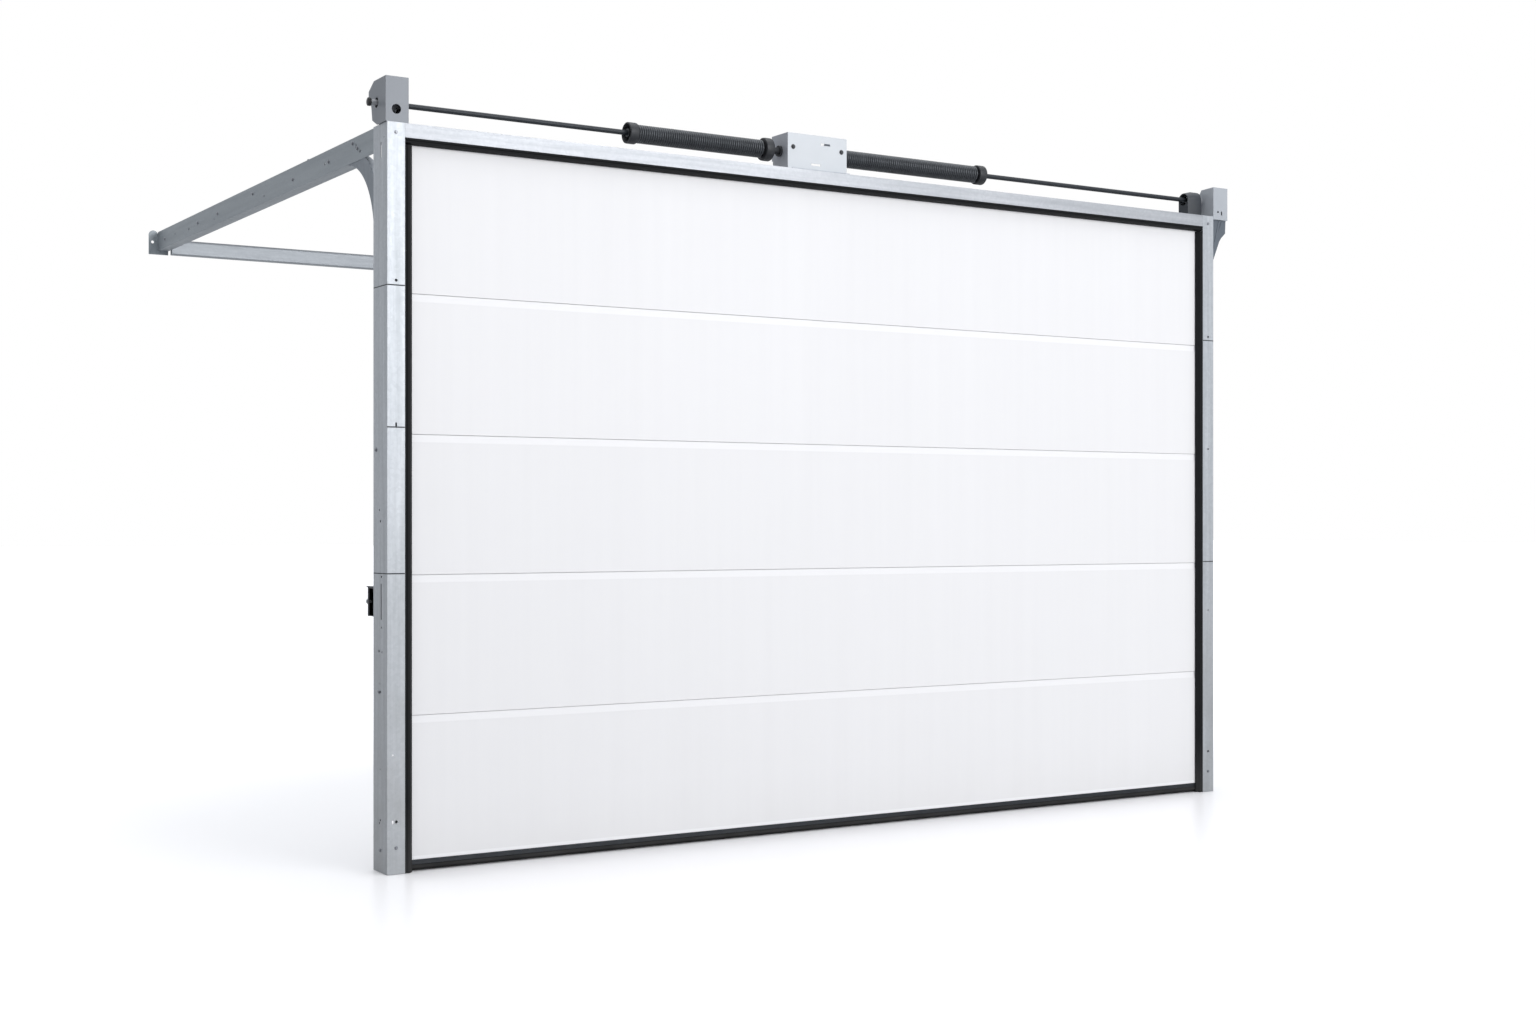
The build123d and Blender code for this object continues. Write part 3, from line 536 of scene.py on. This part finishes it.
def grow(tree, keys, values, start=None):
    """Plain mesh made by a tree from a starting mesh and input values."""
    mesh = start or bpy.data.meshes.new("seed")
    seed = bpy.data.objects.new("seed", mesh)
    bpy.context.collection.objects.link(seed)
    modifier = seed.modifiers.new("make", "NODES")
    modifier.node_group = tree
    for label, value in values.items():
        modifier[keys[label]] = value
    bpy.context.view_layer.update()
    graph = bpy.context.evaluated_depsgraph_get()
    result = bpy.data.meshes.new_from_object(seed.evaluated_get(graph))
    bpy.data.objects.remove(seed)
    return result


head_tree, head_keys, h_in, h_out = shape_tree("bolt_heads", [
    ("NodeSocketFloat", "Radius", 0.007), ("NodeSocketFloat", "Height", 0.004),
    ("NodeSocketInt", "Sides", 6), ("NodeSocketVector", "Turn", (0, 0, 0)),
    ("NodeSocketMaterial", "Material", None)])
nodes, link = head_tree.nodes, head_tree.links.new


def scaled_value(tree, source, factor):
    """Output that is a source times a fixed factor."""
    node = tree.nodes.new("ShaderNodeMath")
    node.operation = "MULTIPLY"
    node.inputs[1].default_value = factor
    tree.links.new(source, node.inputs[0])
    return node.outputs[0]


parts = nodes.new("GeometryNodeJoinGeometry")
# the head, its chamfer and its washer: sides, radii, height and base as shares of the head
for sides, low, high, tall, base in ((None, 1.0, 1.0, 0.55, 0.22), (None, 1.0, 0.86, 0.23, 0.77),
                                     (20, 1.32, 1.27, 0.22, 0.0)):
    cone = nodes.new("GeometryNodeMeshCone")
    if sides is None:
        link(h_in.outputs["Sides"], cone.inputs["Vertices"])
    else:
        cone.inputs["Vertices"].default_value = sides
    link(scaled_value(head_tree, h_in.outputs["Radius"], low), cone.inputs["Radius Bottom"])
    link(scaled_value(head_tree, h_in.outputs["Radius"], high), cone.inputs["Radius Top"])
    link(scaled_value(head_tree, h_in.outputs["Height"], tall), cone.inputs["Depth"])
    shift = nodes.new("GeometryNodeTransform")
    up = nodes.new("ShaderNodeCombineXYZ")
    link(scaled_value(head_tree, h_in.outputs["Height"], base), up.inputs["Z"])
    link(up.outputs[0], shift.inputs["Translation"])
    link(cone.outputs["Mesh"], shift.inputs["Geometry"])
    link(shift.outputs[0], parts.inputs[0])
spread = nodes.new("GeometryNodeInstanceOnPoints")
turn = nodes.new("FunctionNodeEulerToRotation")
link(h_in.outputs["Turn"], turn.inputs[0])
link(turn.outputs[0], spread.inputs["Rotation"])
link(h_in.outputs["Geometry"], spread.inputs["Points"])
link(parts.outputs[0], spread.inputs["Instance"])
real = nodes.new("GeometryNodeRealizeInstances")
paint = nodes.new("GeometryNodeSetMaterial")
link(spread.outputs[0], real.inputs[0])
link(real.outputs[0], paint.inputs["Geometry"])
link(h_in.outputs["Material"], paint.inputs["Material"])
link(paint.outputs[0], h_out.inputs[0])

TURNS = {"+z": (0, 0, 0), "-y": (pi / 2, 0, 0), "+y": (-pi / 2, 0, 0),
         "-x": (0, -pi / 2, 0), "+x": (0, pi / 2, 0)}


def heads(points, facing, radius, height, material, sides=6):
    """Mesh of bolt heads at points, all facing one way."""
    seed = bpy.data.meshes.new("spots")
    seed.from_pydata(points, [], [])
    return grow(head_tree, head_keys, {"Radius": radius, "Height": height, "Sides": sides,
                                       "Turn": TURNS[facing], "Material": material}, seed)


def joined(label, meshes, material, nodes, **kw):
    """One piece from several meshes."""
    total = bmesh.new()
    for mesh in meshes:
        total.from_mesh(mesh)
    mesh = bpy.data.meshes.new(label)
    total.to_mesh(mesh)
    total.free()
    mesh.shade_smooth()
    mesh.set_sharp_from_angle(angle=radians(35))
    return place_piece(label, mesh, material, nodes, **kw)


def plated(name, dark, light, metallic=0.75):
    """Zinc-plated hardware: brighter than sheet, finely mottled."""
    f = Finish(name, metallic)
    cloud = f.group(grain_group, Stretch=(1, 1, 1), Scale=45.0, Contrast=1.8)
    fine = f.group(grain_group, Stretch=(1, 1, 1), Scale=500.0, Contrast=1.2)
    f.colour(f.blend(cloud, dark, light))
    f.rough(f.span(cloud, 0.28, 0.46))
    f.bump(fine, 0.0001, 0.4)
    return f.material


bolt_zinc = plated("bolt_zinc", (0.20, 0.21, 0.23), (0.36, 0.37, 0.40))
# radius and height of each size of head
SMALL_HEAD, MIDDLE_HEAD, LARGE_HEAD = (0.0052, 0.004), (0.006, 0.005), (0.008, 0.007)
flange_spots = [(s * FLANGE_MID, FRONT_FACE, z) for s in (-1, 1) for z in (0.093, 2.617)]
# depth and height of the bolts through each web and track
side_spots = [(0.020, 0.080), (0.030, 0.640), (0.060, 1.500), (0.250, 2.604), (0.300, 2.630),
              (0.560, 2.604), (0.980, 2.600), (1.500, 2.618), (2.010, 2.604), (2.320, 2.604),
              (2.880, 2.600)]
bolt_meshes = [heads(flange_spots, "-y", *SMALL_HEAD, bolt_zinc)]
for s, facing in ((-1, "-x"), (1, "+x")):
    bolt_meshes.append(heads([(s * WEB_FACE, y, z) for y, z in side_spots], facing, *MIDDLE_HEAD,
                             bolt_zinc))
rail_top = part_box("left_horizontal_track")[1][2]
bolt_meshes.append(heads([(-1.992, 0.821, rail_top), (1.992, 0.821, rail_top)], "+z", *LARGE_HEAD,
                         bolt_zinc))
bolt_meshes.append(heads([(WEB_FACE, -0.030, 0.835)], "+x", *LARGE_HEAD, bolt_zinc))
joined("frame_bolt_heads", bolt_meshes, bolt_zinc, ("frame_bolts",))
screw_black = black_steel("screw_black", (0.03, 0.032, 0.036), 0.38)
cover_low, cover_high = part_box("cover_screws")
screw_y, screw_z = cover_low[1] + 0.006, (cover_low[2] + cover_high[2]) / 2
screw_spots = [(x, screw_y, screw_z) for x in (cover_low[0] + 0.010, cover_high[0] - 0.010)]
joined("cover_screw_heads", [heads(screw_spots, "-y", 0.0074, 0.0055, screw_black, 24),
                             heads([(x, y - 0.0050, z) for x, y, z in screw_spots], "-y", 0.0032,
                                   0.0009, screw_black)], screw_black, ("cover_screws",))


# Torsion springs: close-wound oil-tempered wire, 9.6 mm thick, black with a soft sheen,
# clamped on a plain cone at the centre bracket and on a winding cone at the far end.
coil_tree, coil_keys, c_in, c_out = shape_tree("coil", [
    ("NodeSocketFloat", "Radius", 0.031), ("NodeSocketFloat", "Wire", 0.0048),
    ("NodeSocketFloat", "Length", 0.5), ("NodeSocketFloat", "Turns", 50.0),
    ("NodeSocketVector", "Start", (0, 0, 0)), ("NodeSocketMaterial", "Material", None)])
nodes, link = coil_tree.nodes, coil_tree.links.new
spiral = nodes.new("GeometryNodeCurveSpiral")
spiral.inputs["Resolution"].default_value = 28
for socket, label in (("Start Radius", "Radius"), ("End Radius", "Radius"), ("Height", "Length"),
                      ("Rotations", "Turns")):
    link(c_in.outputs[label], spiral.inputs[socket])
ring = nodes.new("GeometryNodeCurvePrimitiveCircle")
ring.inputs["Resolution"].default_value = 8
link(c_in.outputs["Wire"], ring.inputs["Radius"])
sweep = nodes.new("GeometryNodeCurveToMesh")
sweep.inputs["Fill Caps"].default_value = True
link(spiral.outputs[0], sweep.inputs["Curve"])
link(ring.outputs[0], sweep.inputs["Profile Curve"])
lay = nodes.new("GeometryNodeTransform")
lay.inputs["Rotation"].default_value = (0, pi / 2, 0)
link(sweep.outputs[0], lay.inputs["Geometry"])
link(c_in.outputs["Start"], lay.inputs["Translation"])
real = nodes.new("GeometryNodeRealizeInstances")
paint = nodes.new("GeometryNodeSetMaterial")
link(lay.outputs[0], real.inputs[0])
link(real.outputs[0], paint.inputs["Geometry"])
link(c_in.outputs["Material"], paint.inputs["Material"])
link(paint.outputs[0], c_out.inputs[0])

# depth and height of the shaft axis
SHAFT = (0.045, 2.733)
spring_black = black_steel("spring_black", (0.060, 0.065, 0.072), 0.26, 0.5)
SPRING_RADIUS, SPRING_WIRE, SPRING_PITCH = 0.036, 0.0048, 0.0097
for side in ("left", "right"):
    low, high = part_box(side + "_spring")
    length = high[0] - low[0] - 2 * SPRING_WIRE
    mesh = grow(coil_tree, coil_keys, {
        "Radius": SPRING_RADIUS - SPRING_WIRE, "Wire": SPRING_WIRE, "Length": length,
        "Turns": length / SPRING_PITCH, "Start": (low[0] + SPRING_WIRE, *SHAFT),
        "Material": spring_black})
    mesh.shade_smooth()
    place_piece(side + "_spring_coil", mesh, spring_black, (side + "_spring",))


def lathe(profile, segments=48, centre=SHAFT):
    """Solid of revolution about the shaft axis from (x, radius) points."""
    shape = bmesh.new()
    rings = []
    for x, r in profile:
        rings.append([shape.verts.new((x, centre[0] + r * cos(2 * pi * k / segments),
                                       centre[1] + r * sin(2 * pi * k / segments)))
                      for k in range(segments)])
    for a, b in zip(rings, rings[1:] + rings[:1]):
        for k in range(segments):
            n = (k + 1) % segments
            shape.faces.new((a[k], a[n], b[n], b[k]))
    bmesh.ops.recalc_face_normals(shape, faces=shape.faces)
    mesh = bpy.data.meshes.new("turned")
    shape.to_mesh(mesh)
    shape.free()
    return mesh


# Cones: sand-cast iron, with a flange that butts on the spring, a rounded rim, and on the
# winding cones a bored hub and two square-headed set screws.
cone_iron = black_steel("cone_iron", (0.028, 0.030, 0.034), 0.45, 0.2)
COVER_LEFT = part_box("centre_cover")[0][0]
# free faces of the two stationary cones, and the rim and bore of both
LEFT_SEAT, RIGHT_SEAT, RIM, BORE = -0.359, -0.066, 0.046, 0.011
SLEEVE = 0.0135
flange = [(0, BORE), (0, RIM - 0.006), (0.002, RIM - 0.002), (0.006, RIM), (0.030, RIM),
          (0.036, RIM - 0.0013), (0.038, RIM - 0.0035), (0.038, 0.0262), (0.064, 0.0258),
          (0.068, 0.024), (0.068, BORE)]
fixed = [lathe([(seat + s * x, r) for x, r in flange])
         for s, seat in ((-1, LEFT_SEAT), (1, RIGHT_SEAT))]
fixed.append(lathe([(COVER_LEFT + 0.004, BORE), (COVER_LEFT + 0.004, SLEEVE), (COVER_LEFT, SLEEVE),
                    (COVER_LEFT, 0.021), (COVER_LEFT - 0.001, 0.022), (COVER_LEFT - 0.009, 0.022),
                    (COVER_LEFT - 0.010, 0.021), (COVER_LEFT - 0.010, SLEEVE), (LEFT_SEAT, SLEEVE),
                    (LEFT_SEAT, BORE)]))
fixed.append(lathe([(RIGHT_SEAT - 0.008, BORE), (RIGHT_SEAT - 0.008, 0.018), (RIGHT_SEAT, 0.018),
                    (RIGHT_SEAT, BORE)]))
joined("stationary_cone_castings", fixed, cone_iron, ("stationary_cones",))
STUD, STUD_IN, STUD_OUT = 0.006, 0.012, 0.0190
winding = []
wind_low, wind_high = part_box("winding_cones")
for s, end in ((1, wind_low[0]), (-1, wind_high[0])):
    points = [(0.003, 0.0100), (0.003, 0.0155), (0.004, 0.0165), (0.023, 0.0172), (0.026, 0.0200),
              (0.026, 0.0270), (0.023, 0.0305), (0.004, 0.0335), (0.0005, 0.0350), (0, 0.0365),
              (0, 0.0390), (0.0015, 0.0405), (0.004, 0.0410), (0.034, 0.0410), (0.037, 0.0400),
              (0.038, 0.0375), (0.038, 0.0262), (0.064, 0.0258), (0.068, 0.024), (0.068, 0.0100)]
    winding.append(lathe([(end + s * x, r) for x, r in points]))
    for angle in (radians(60), radians(240)):
        stud = bmesh.new()
        bmesh.ops.create_cube(stud, size=STUD, matrix=Matrix.Translation(
            (end + s * STUD_IN, SHAFT[0] + STUD_OUT * cos(angle), SHAFT[1] + STUD_OUT * sin(angle)))
            @ Matrix.Rotation(angle, 4, "X"))
        stud_mesh = bpy.data.meshes.new("stud")
        stud.to_mesh(stud_mesh)
        stud.free()
        winding.append(stud_mesh)
joined("winding_cone_castings", winding, cone_iron, ("winding_cones",))

# Shaft: a 20 mm black steel tube on ball bearings, with a moulded knob on its left end.
shaft_black = black_steel("shaft_black", (0.020, 0.024, 0.030), 0.40, 0.3)
low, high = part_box("torsion_shaft")
TUBE_LEFT, TUBE_RADIUS, TUBE_BORE = -2.000, 0.0100, 0.0070
mesh = lathe([(TUBE_LEFT, TUBE_BORE), (TUBE_LEFT, TUBE_RADIUS), (high[0] - 0.0008, TUBE_RADIUS),
              (high[0], 0.0093), (high[0], TUBE_BORE)], 40)
joined("shaft_tube", [mesh], shaft_black, ("torsion_shaft",))
end_bright = plated("end_bright", (0.42, 0.43, 0.45), (0.60, 0.61, 0.63), 0.85)
mesh = lathe([(low[0] + 0.001, 0.0001), (low[0] + 0.001, 0.0099), (-2.0195, 0.0099), (-2.0190, 0.0092),
              (-2.0170, 0.0092), (-2.0165, 0.0099), (-2.0002, 0.0099), (-2.0002, 0.0001)], 40)
joined("extra_shaft_end", [mesh], end_bright, ("torsion_shaft",), slot="stem_steel")
# a black rubber ring fills the housing's hole round the shaft: painted shade of the hole
mesh = lathe([(-2.0070, 0.0104), (-2.0070, 0.0125), (-2.0060, 0.0135), (-2.0055, 0.0178),
              (-2.0040, 0.0178), (-2.0040, 0.0104)], 40)
joined("extra_shaft_hole_shade", [mesh], seal_rubber, ("left_drum_housing",), slot="seal_rubber")
low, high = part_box("shaft_end_knob")
knob_black = coated("knob_black", (0.018, 0.018, 0.02), 0.35, 0.15, 0.0)
grip = [(low[0], 0.0001), (low[0], 0.0105), (low[0] + 0.0008, 0.0125), (low[0] + 0.0022, 0.0145)]
for k in range(3):
    x = low[0] + 0.0028 + 0.0026 * k
    grip += [(x, 0.0150), (x + 0.0013, 0.0150), (x + 0.0017, 0.0142), (x + 0.0022, 0.0142)]
grip += [(high[0] - 0.0008, 0.0148), (high[0], 0.0140), (high[0], 0.0101), (high[0] - 0.004, 0.0101),
         (high[0] - 0.004, 0.0001)]
joined("end_knob", [lathe(grip, 40)], knob_black, ("shaft_end_knob",))
bearing_chrome = plated("bearing_chrome", (0.45, 0.46, 0.48), (0.62, 0.63, 0.65), 0.9)
# the two faces of each bearing along the shaft
BEARINGS = ((-1.930, -1.918), (-0.1965, -0.1805), (1.997, 2.011))
races = []
for x0, x1 in BEARINGS:
    races.append(lathe([(x0, 0.01005), (x0, 0.0128), (x0 + 0.001, 0.0132), (x0 + 0.001, 0.0168),
                        (x0, 0.0172), (x0, 0.0195), (x0 + 0.0006, 0.0200), (x1 - 0.0006, 0.0200),
                        (x1, 0.0195), (x1, 0.0172), (x1 - 0.001, 0.0168), (x1 - 0.001, 0.0132),
                        (x1, 0.0128), (x1, 0.01005)]))
joined("shaft_bearing_races", races, bearing_chrome, ("shaft_bearings",))

# Seam shade: a grey-black strip set into each scored seam of the uprights, a little
# below the face; painted shade of the deep gap where two lengths meet.
SHADE_STRIP_DEPTH, SHADE_STRIP_SLACK, SHADE_STRIP_SUNK = 0.0010, 0.0004, 0.0009
shade_strips = []
for spot, size in left_seams + right_seams:
    # the seam is shallow across the face that it is scored in, and there the strip is sunk
    shallow = [across < 0.004 and axis < 2 for axis, across in enumerate(size)]
    thick = [SHADE_STRIP_DEPTH if thin else across - SHADE_STRIP_SLACK for thin, across in zip(shallow, size)]
    inward = Vector([SHADE_STRIP_SUNK if thin else 0 for thin in shallow])
    shade_strip = bmesh.new()
    bmesh.ops.create_cube(shade_strip, size=1.0, matrix=Matrix.Translation(Vector(spot) + inward)
                          @ Matrix.Diagonal((*thick, 1)))
    bmesh.ops.bevel(shade_strip, geom=shade_strip.edges[:], offset=0.0002, segments=1, affect="EDGES")
    shade_strip_mesh = bpy.data.meshes.new("shade_strip")
    shade_strip.to_mesh(shade_strip_mesh)
    shade_strip.free()
    shade_strips.append(shade_strip_mesh)
seam_shade_black = rubber("seam_shade_rubber", 0.05)
joined("extra_seam_shade_strips", shade_strips, seam_shade_black, ("left_upright",), slot="seal_rubber")

# Drums: cast aluminium with a cable groove cut round the core and the last turns of
# the lift cable lying in it.
drum_cast = plated("drum_cast", (0.44, 0.45, 0.47), (0.58, 0.59, 0.61), 0.6)
cable_strand = plated("cable_strand", (0.20, 0.20, 0.21), (0.42, 0.42, 0.43), 0.7)
CABLE_RADIUS = 0.0020
for side, s in (("left", -1), ("right", 1)):
    hub = [(s * 1.9306, 0.0100), (s * 1.9306, 0.0174), (s * 1.9314, 0.0180), (s * 1.9435, 0.0180),
           (s * 1.944, 0.0200), (s * 1.944, 0.0332), (s * 1.9448, 0.0340), (s * 1.9472, 0.0340),
           (s * 1.948, 0.0332), (s * 1.948, 0.0300)]
    for k in range(8):
        x = 1.9490 + 0.0044 * k
        hub += [(s * x, 0.0300), (s * (x + 0.0014), 0.0290), (s * (x + 0.0030), 0.0290)]
    hub += [(s * 1.984, 0.0300), (s * 1.984, 0.0332), (s * 1.9848, 0.0340), (s * 1.9872, 0.0340),
            (s * 1.988, 0.0332), (s * 1.988, 0.0100)]
    joined(side + "_drum_casting", [lathe(hub)], drum_cast, (side + "_drum",))
    coil = grow(coil_tree, coil_keys, {"Radius": 0.0320, "Wire": CABLE_RADIUS, "Length": 0.0095,
                                       "Turns": 2.0, "Start": (s * 1.972 - 0.0100, *SHAFT),
                                       "Material": cable_strand})
    joined("extra_" + side + "_cable_turns", [coil], cable_strand, (side + "_lift_cable",),
           body="shaft")

# Lift cables: 4 mm steel wire rope of six strands, straight from the drum to the bottom
# bracket.
rope = Finish("wire_rope", 0.75)
twist = rope.tree.nodes.new("ShaderNodeTexWave")
twist.wave_type = "BANDS"
twist.bands_direction = "DIAGONAL"
twist.inputs["Scale"].default_value = 160.0
at = rope.tree.nodes.new("ShaderNodeTexCoord")
rope.tree.links.new(at.outputs["Object"], twist.inputs["Vector"])
rope.colour(rope.blend(twist.outputs["Fac"], (0.10, 0.10, 0.11), (0.42, 0.42, 0.44)))
rope.rough(rope.span(twist.outputs["Fac"], 0.5, 0.32))
rope.bump(twist.outputs["Fac"], 0.0006, 0.8)
# straight travel of the leaf, radius between two strands and turn of one ring on the last
LEAF_TRAVEL, CABLE_VALLEY, TURN_PER_STEP = 0.19, 0.0017, 2.2
for side in ("left", "right"):
    low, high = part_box(side + "_lift_cable")
    cx, cy = (low[0] + high[0]) / 2, (low[1] + high[1]) / 2
    shape = bmesh.new()
    count, steps = 12, 60
    rows = []
    for j in range(steps + 1):
        z = low[2] + (high[2] - low[2]) * j / steps
        lobes = []
        for k in range(count):
            r = CABLE_RADIUS if k % 2 == 0 else CABLE_VALLEY
            angle = 2 * pi * k / count + TURN_PER_STEP * j
            lobes.append(shape.verts.new((cx + r * cos(angle), cy + r * sin(angle), z)))
        rows.append(lobes)
    for a, b in zip(rows, rows[1:]):
        for k in range(count):
            n = (k + 1) % count
            shape.faces.new((a[k], a[n], b[n], b[k]))
    shape.faces.new(reversed(rows[0]))
    shape.faces.new(rows[-1])
    mesh = bpy.data.meshes.new("rope")
    shape.to_mesh(mesh)
    shape.free()
    piece = place_piece(side + "_wire_rope", mesh, rope.material, (side + "_lift_cable",), body="frame")
    reach = high[2] - low[2]
    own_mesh(piece)


# Leaf sections: white coil-coated steel skins with a very fine stucco and a bevelled
# top edge, folded around a foam core; steel caps close the ends.
# height of the lowest joint, joint spacing, depth of the painted highlight band and its upper limit
FIRST_JOINT, PITCH, HIGHLIGHT_BAND, HIGHLIGHT_LIMIT = 0.554, 0.500, 0.027, 2.2


def panel(name):
    """Baked white coat over stuccoed steel skin, with a painted highlight along each rolled top edge.
    """
    f = Finish(name, 0.0, Specular_IOR_Level=0.4, Coat_Weight=0.06)
    stripe = f.group(grain_group, Stretch=(9, 9, 0.25), Scale=2.2, Contrast=1.3)
    cloud = f.group(grain_group, Stretch=(1, 1, 1), Scale=1.1, Contrast=1.4)
    stucco = f.group(grain_group, Stretch=(1, 1, 1), Scale=230.0, Contrast=1.2)
    wave = f.group(grain_group, Stretch=(0.6, 1, 3), Scale=1.6, Contrast=1.0)
    tone = f.blend(stripe, (0.825, 0.817, 0.826), (0.86, 0.852, 0.861))
    tone = f.blend(f.span(cloud, 0.0, 0.35), tone, (0.89, 0.883, 0.895))
    tone = f.blend(f.group(dust_and_shade_group, Height=0.25, Amount=0.16), tone, (0.62, 0.60, 0.57))
    # the rolled top edge of each section, 27 mm tall, is painted a shade brighter: a painted highlight
    # where the edge catches the light
    spot = f.tree.nodes.new("ShaderNodeTexCoord")
    axes = f.tree.nodes.new("ShaderNodeSeparateXYZ")
    f.tree.links.new(spot.outputs["Object"], axes.inputs[0])
    height = axes.outputs["Z"]
    for operation, value in (("SUBTRACT", FIRST_JOINT), ("FLOORED_MODULO", PITCH)):
        step = f.tree.nodes.new("ShaderNodeMath")
        step.operation = operation
        step.inputs[1].default_value = value
        f.tree.links.new(height, step.inputs[0])
        height = step.outputs[0]
    edge = f.tree.nodes.new("ShaderNodeMapRange")
    edge.inputs["From Min"].default_value = PITCH - HIGHLIGHT_BAND - 0.002
    edge.inputs["From Max"].default_value = PITCH - HIGHLIGHT_BAND + 0.002
    f.tree.links.new(height, edge.inputs["Value"])
    below = f.tree.nodes.new("ShaderNodeMath")
    below.operation = "LESS_THAN"
    below.inputs[1].default_value = HIGHLIGHT_LIMIT
    f.tree.links.new(axes.outputs["Z"], below.inputs[0])
    both = f.tree.nodes.new("ShaderNodeMath")
    both.operation = "MULTIPLY"
    f.tree.links.new(edge.outputs["Result"], both.inputs[0])
    f.tree.links.new(below.outputs[0], both.inputs[1])
    tone = f.blend(both.outputs[0], tone, (0.91, 0.903, 0.915))
    f.colour(tone)
    f.rough(f.span(stucco, 0.36, 0.5))
    f.bump(stucco, 0.00025, 0.35)
    f.bump(wave, 0.0012, 0.25)
    return f.material


panel_white = panel("panel_white")
for k in range(1, 6):
    softened("section_%d" % k, 0.0008, panel_white)
cap_white = coated("cap_white", (0.74, 0.74, 0.75), 0.42, 0.05)
softened("end_caps", 0.0005, cap_white)
softened("top_end_caps", 0.0005, cap_white)

# Bottom edge: black anodised retainer that grips a hollow rubber floor seal.
softened("bottom_retainer", 0.0006, black_steel("anodised_black", (0.030, 0.033, 0.038), 0.42, 0.5))
softened("bottom_seal", 0.0006, rubber("floor_seal_rubber", 0.007))

# Hinges, roller carriers and brackets: zinc-plated steel pressings 3 to 4 mm thick,
# screwed to the back of the leaf with pan-head screws.
hinge_zinc = plated("hinge_zinc", (0.50, 0.51, 0.53), (0.68, 0.69, 0.71), 0.7)
for node in ("bottom_brackets", "roller_carriers", "hinge_lower_leaves", "hinge_upper_leaves",
             "top_hinge_leaves", "top_brackets", "lock_strike"):
    softened(node, 0.0006, hinge_zinc)
JOINTS = tuple(round(FIRST_JOINT + PITCH * k, 3) for k in range(4))
HINGES = (-1.790, -0.900, 0.0, 0.900, 1.790)
# depth of the underside of the screw heads on each pressing
HINGE_BACK, CARRIER_BACK, BRACKET_BACK = 0.023, 0.025, 0.0255
leaf_screws, top_screws, carrier_screws = [], [], []
for z in JOINTS:
    for x in HINGES:
        for dx in (-0.021, 0.021):
            for dz in (0.022, 0.050):
                leaf_screws.append((x + dx, HINGE_BACK, z - dz))
                (top_screws if z == JOINTS[-1] else leaf_screws).append((x + dx, HINGE_BACK, z + dz))
    for s in (-1, 1):
        for x in (1.862, 1.893, 1.915):
            carrier_screws.append((s * x, CARRIER_BACK, z - 0.048))
for s in (-1, 1):
    for x in (1.872, 1.905):
        top_screws += [(s * x, BRACKET_BACK, z) for z in (2.580, 2.532)]
        carrier_screws.append((s * x, CARRIER_BACK, 0.136))
PAN_HEAD = ("+y", 0.0042, 0.003, bolt_zinc, 16)
joined("extra_leaf_screws", [heads(leaf_screws, *PAN_HEAD), heads(carrier_screws, *PAN_HEAD)],
       bolt_zinc, ("hinge_lower_leaves",), slot="bolt_zinc")
joined("extra_top_screws", [heads(top_screws, *PAN_HEAD)], bolt_zinc, ("top_hinge_leaves",),
       slot="bolt_zinc")

# Rollers: turned nylon wheels with a rounded tread and a steel hub, on bright steel stems.
nylon = Finish("roller_nylon", 0.0, Subsurface_Weight=0.05)
cloud = nylon.group(grain_group, Stretch=(1, 1, 1), Scale=60.0, Contrast=1.4)
nylon.colour(nylon.blend(cloud, (0.66, 0.65, 0.61), (0.80, 0.79, 0.76)))
nylon.rough(nylon.span(cloud, 0.40, 0.55))
stem_bright = plated("stem_bright", (0.55, 0.56, 0.58), (0.72, 0.73, 0.75), 0.9)
WHEEL_SIDES, ROLLER_DEPTH = (1.975, 1.995), 0.065


def wheel(s, z):
    """Roller wheel with dished sides and rounded tread, at height z in the track."""
    x0, x1 = WHEEL_SIDES
    return lathe([(s * x0, 0.00555), (s * x0, 0.0085), (s * (x0 + 0.002), 0.0095),
                  (s * (x0 + 0.003), 0.0150), (s * x0, 0.0170), (s * (x0 + 0.001), 0.0188),
                  (s * (x0 + 0.003), 0.0198), (s * (x0 + 0.005), 0.0200),
                  (s * (x1 - 0.005), 0.0200), (s * (x1 - 0.003), 0.0198), (s * (x1 - 0.001), 0.0188),
                  (s * x1, 0.0170), (s * (x1 - 0.003), 0.0150), (s * (x1 - 0.002), 0.0095),
                  (s * x1, 0.0085), (s * x1, 0.00555)], 36, (ROLLER_DEPTH, z))


ROLLERS, TOP_ROLLER = (0.085,) + JOINTS, 2.626
for k, z in enumerate(ROLLERS):
    joined("wheels_line_%d" % k, [wheel(-1, z), wheel(1, z)], nylon.material, ("rollers_line_%d" % k,))
joined("top_wheels", [wheel(-1, TOP_ROLLER), wheel(1, TOP_ROLLER)], nylon.material, ("top_rollers",))
softened("roller_stems", 0.0005, stem_bright)
softened("top_roller_stems", 0.0005, stem_bright)

# Lock: U-shaped black case behind the left track, plated bright along its top, and a
# sliding bolt with a round handle.
lock_black = coated("lock_black", (0.025, 0.026, 0.03), 0.4, 0.2, 0.1)
lock_case = softened("lock_case", 0.0009, lock_black)
lock_case.data.materials.append(hinge_zinc)
case_top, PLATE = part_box("lock_case")[1][2], 0.0035
for face in lock_case.data.polygons:
    face.material_index = 1 if face.center.z > case_top - PLATE else 0
softened("lock_bolt", 0.0006, stem_bright)
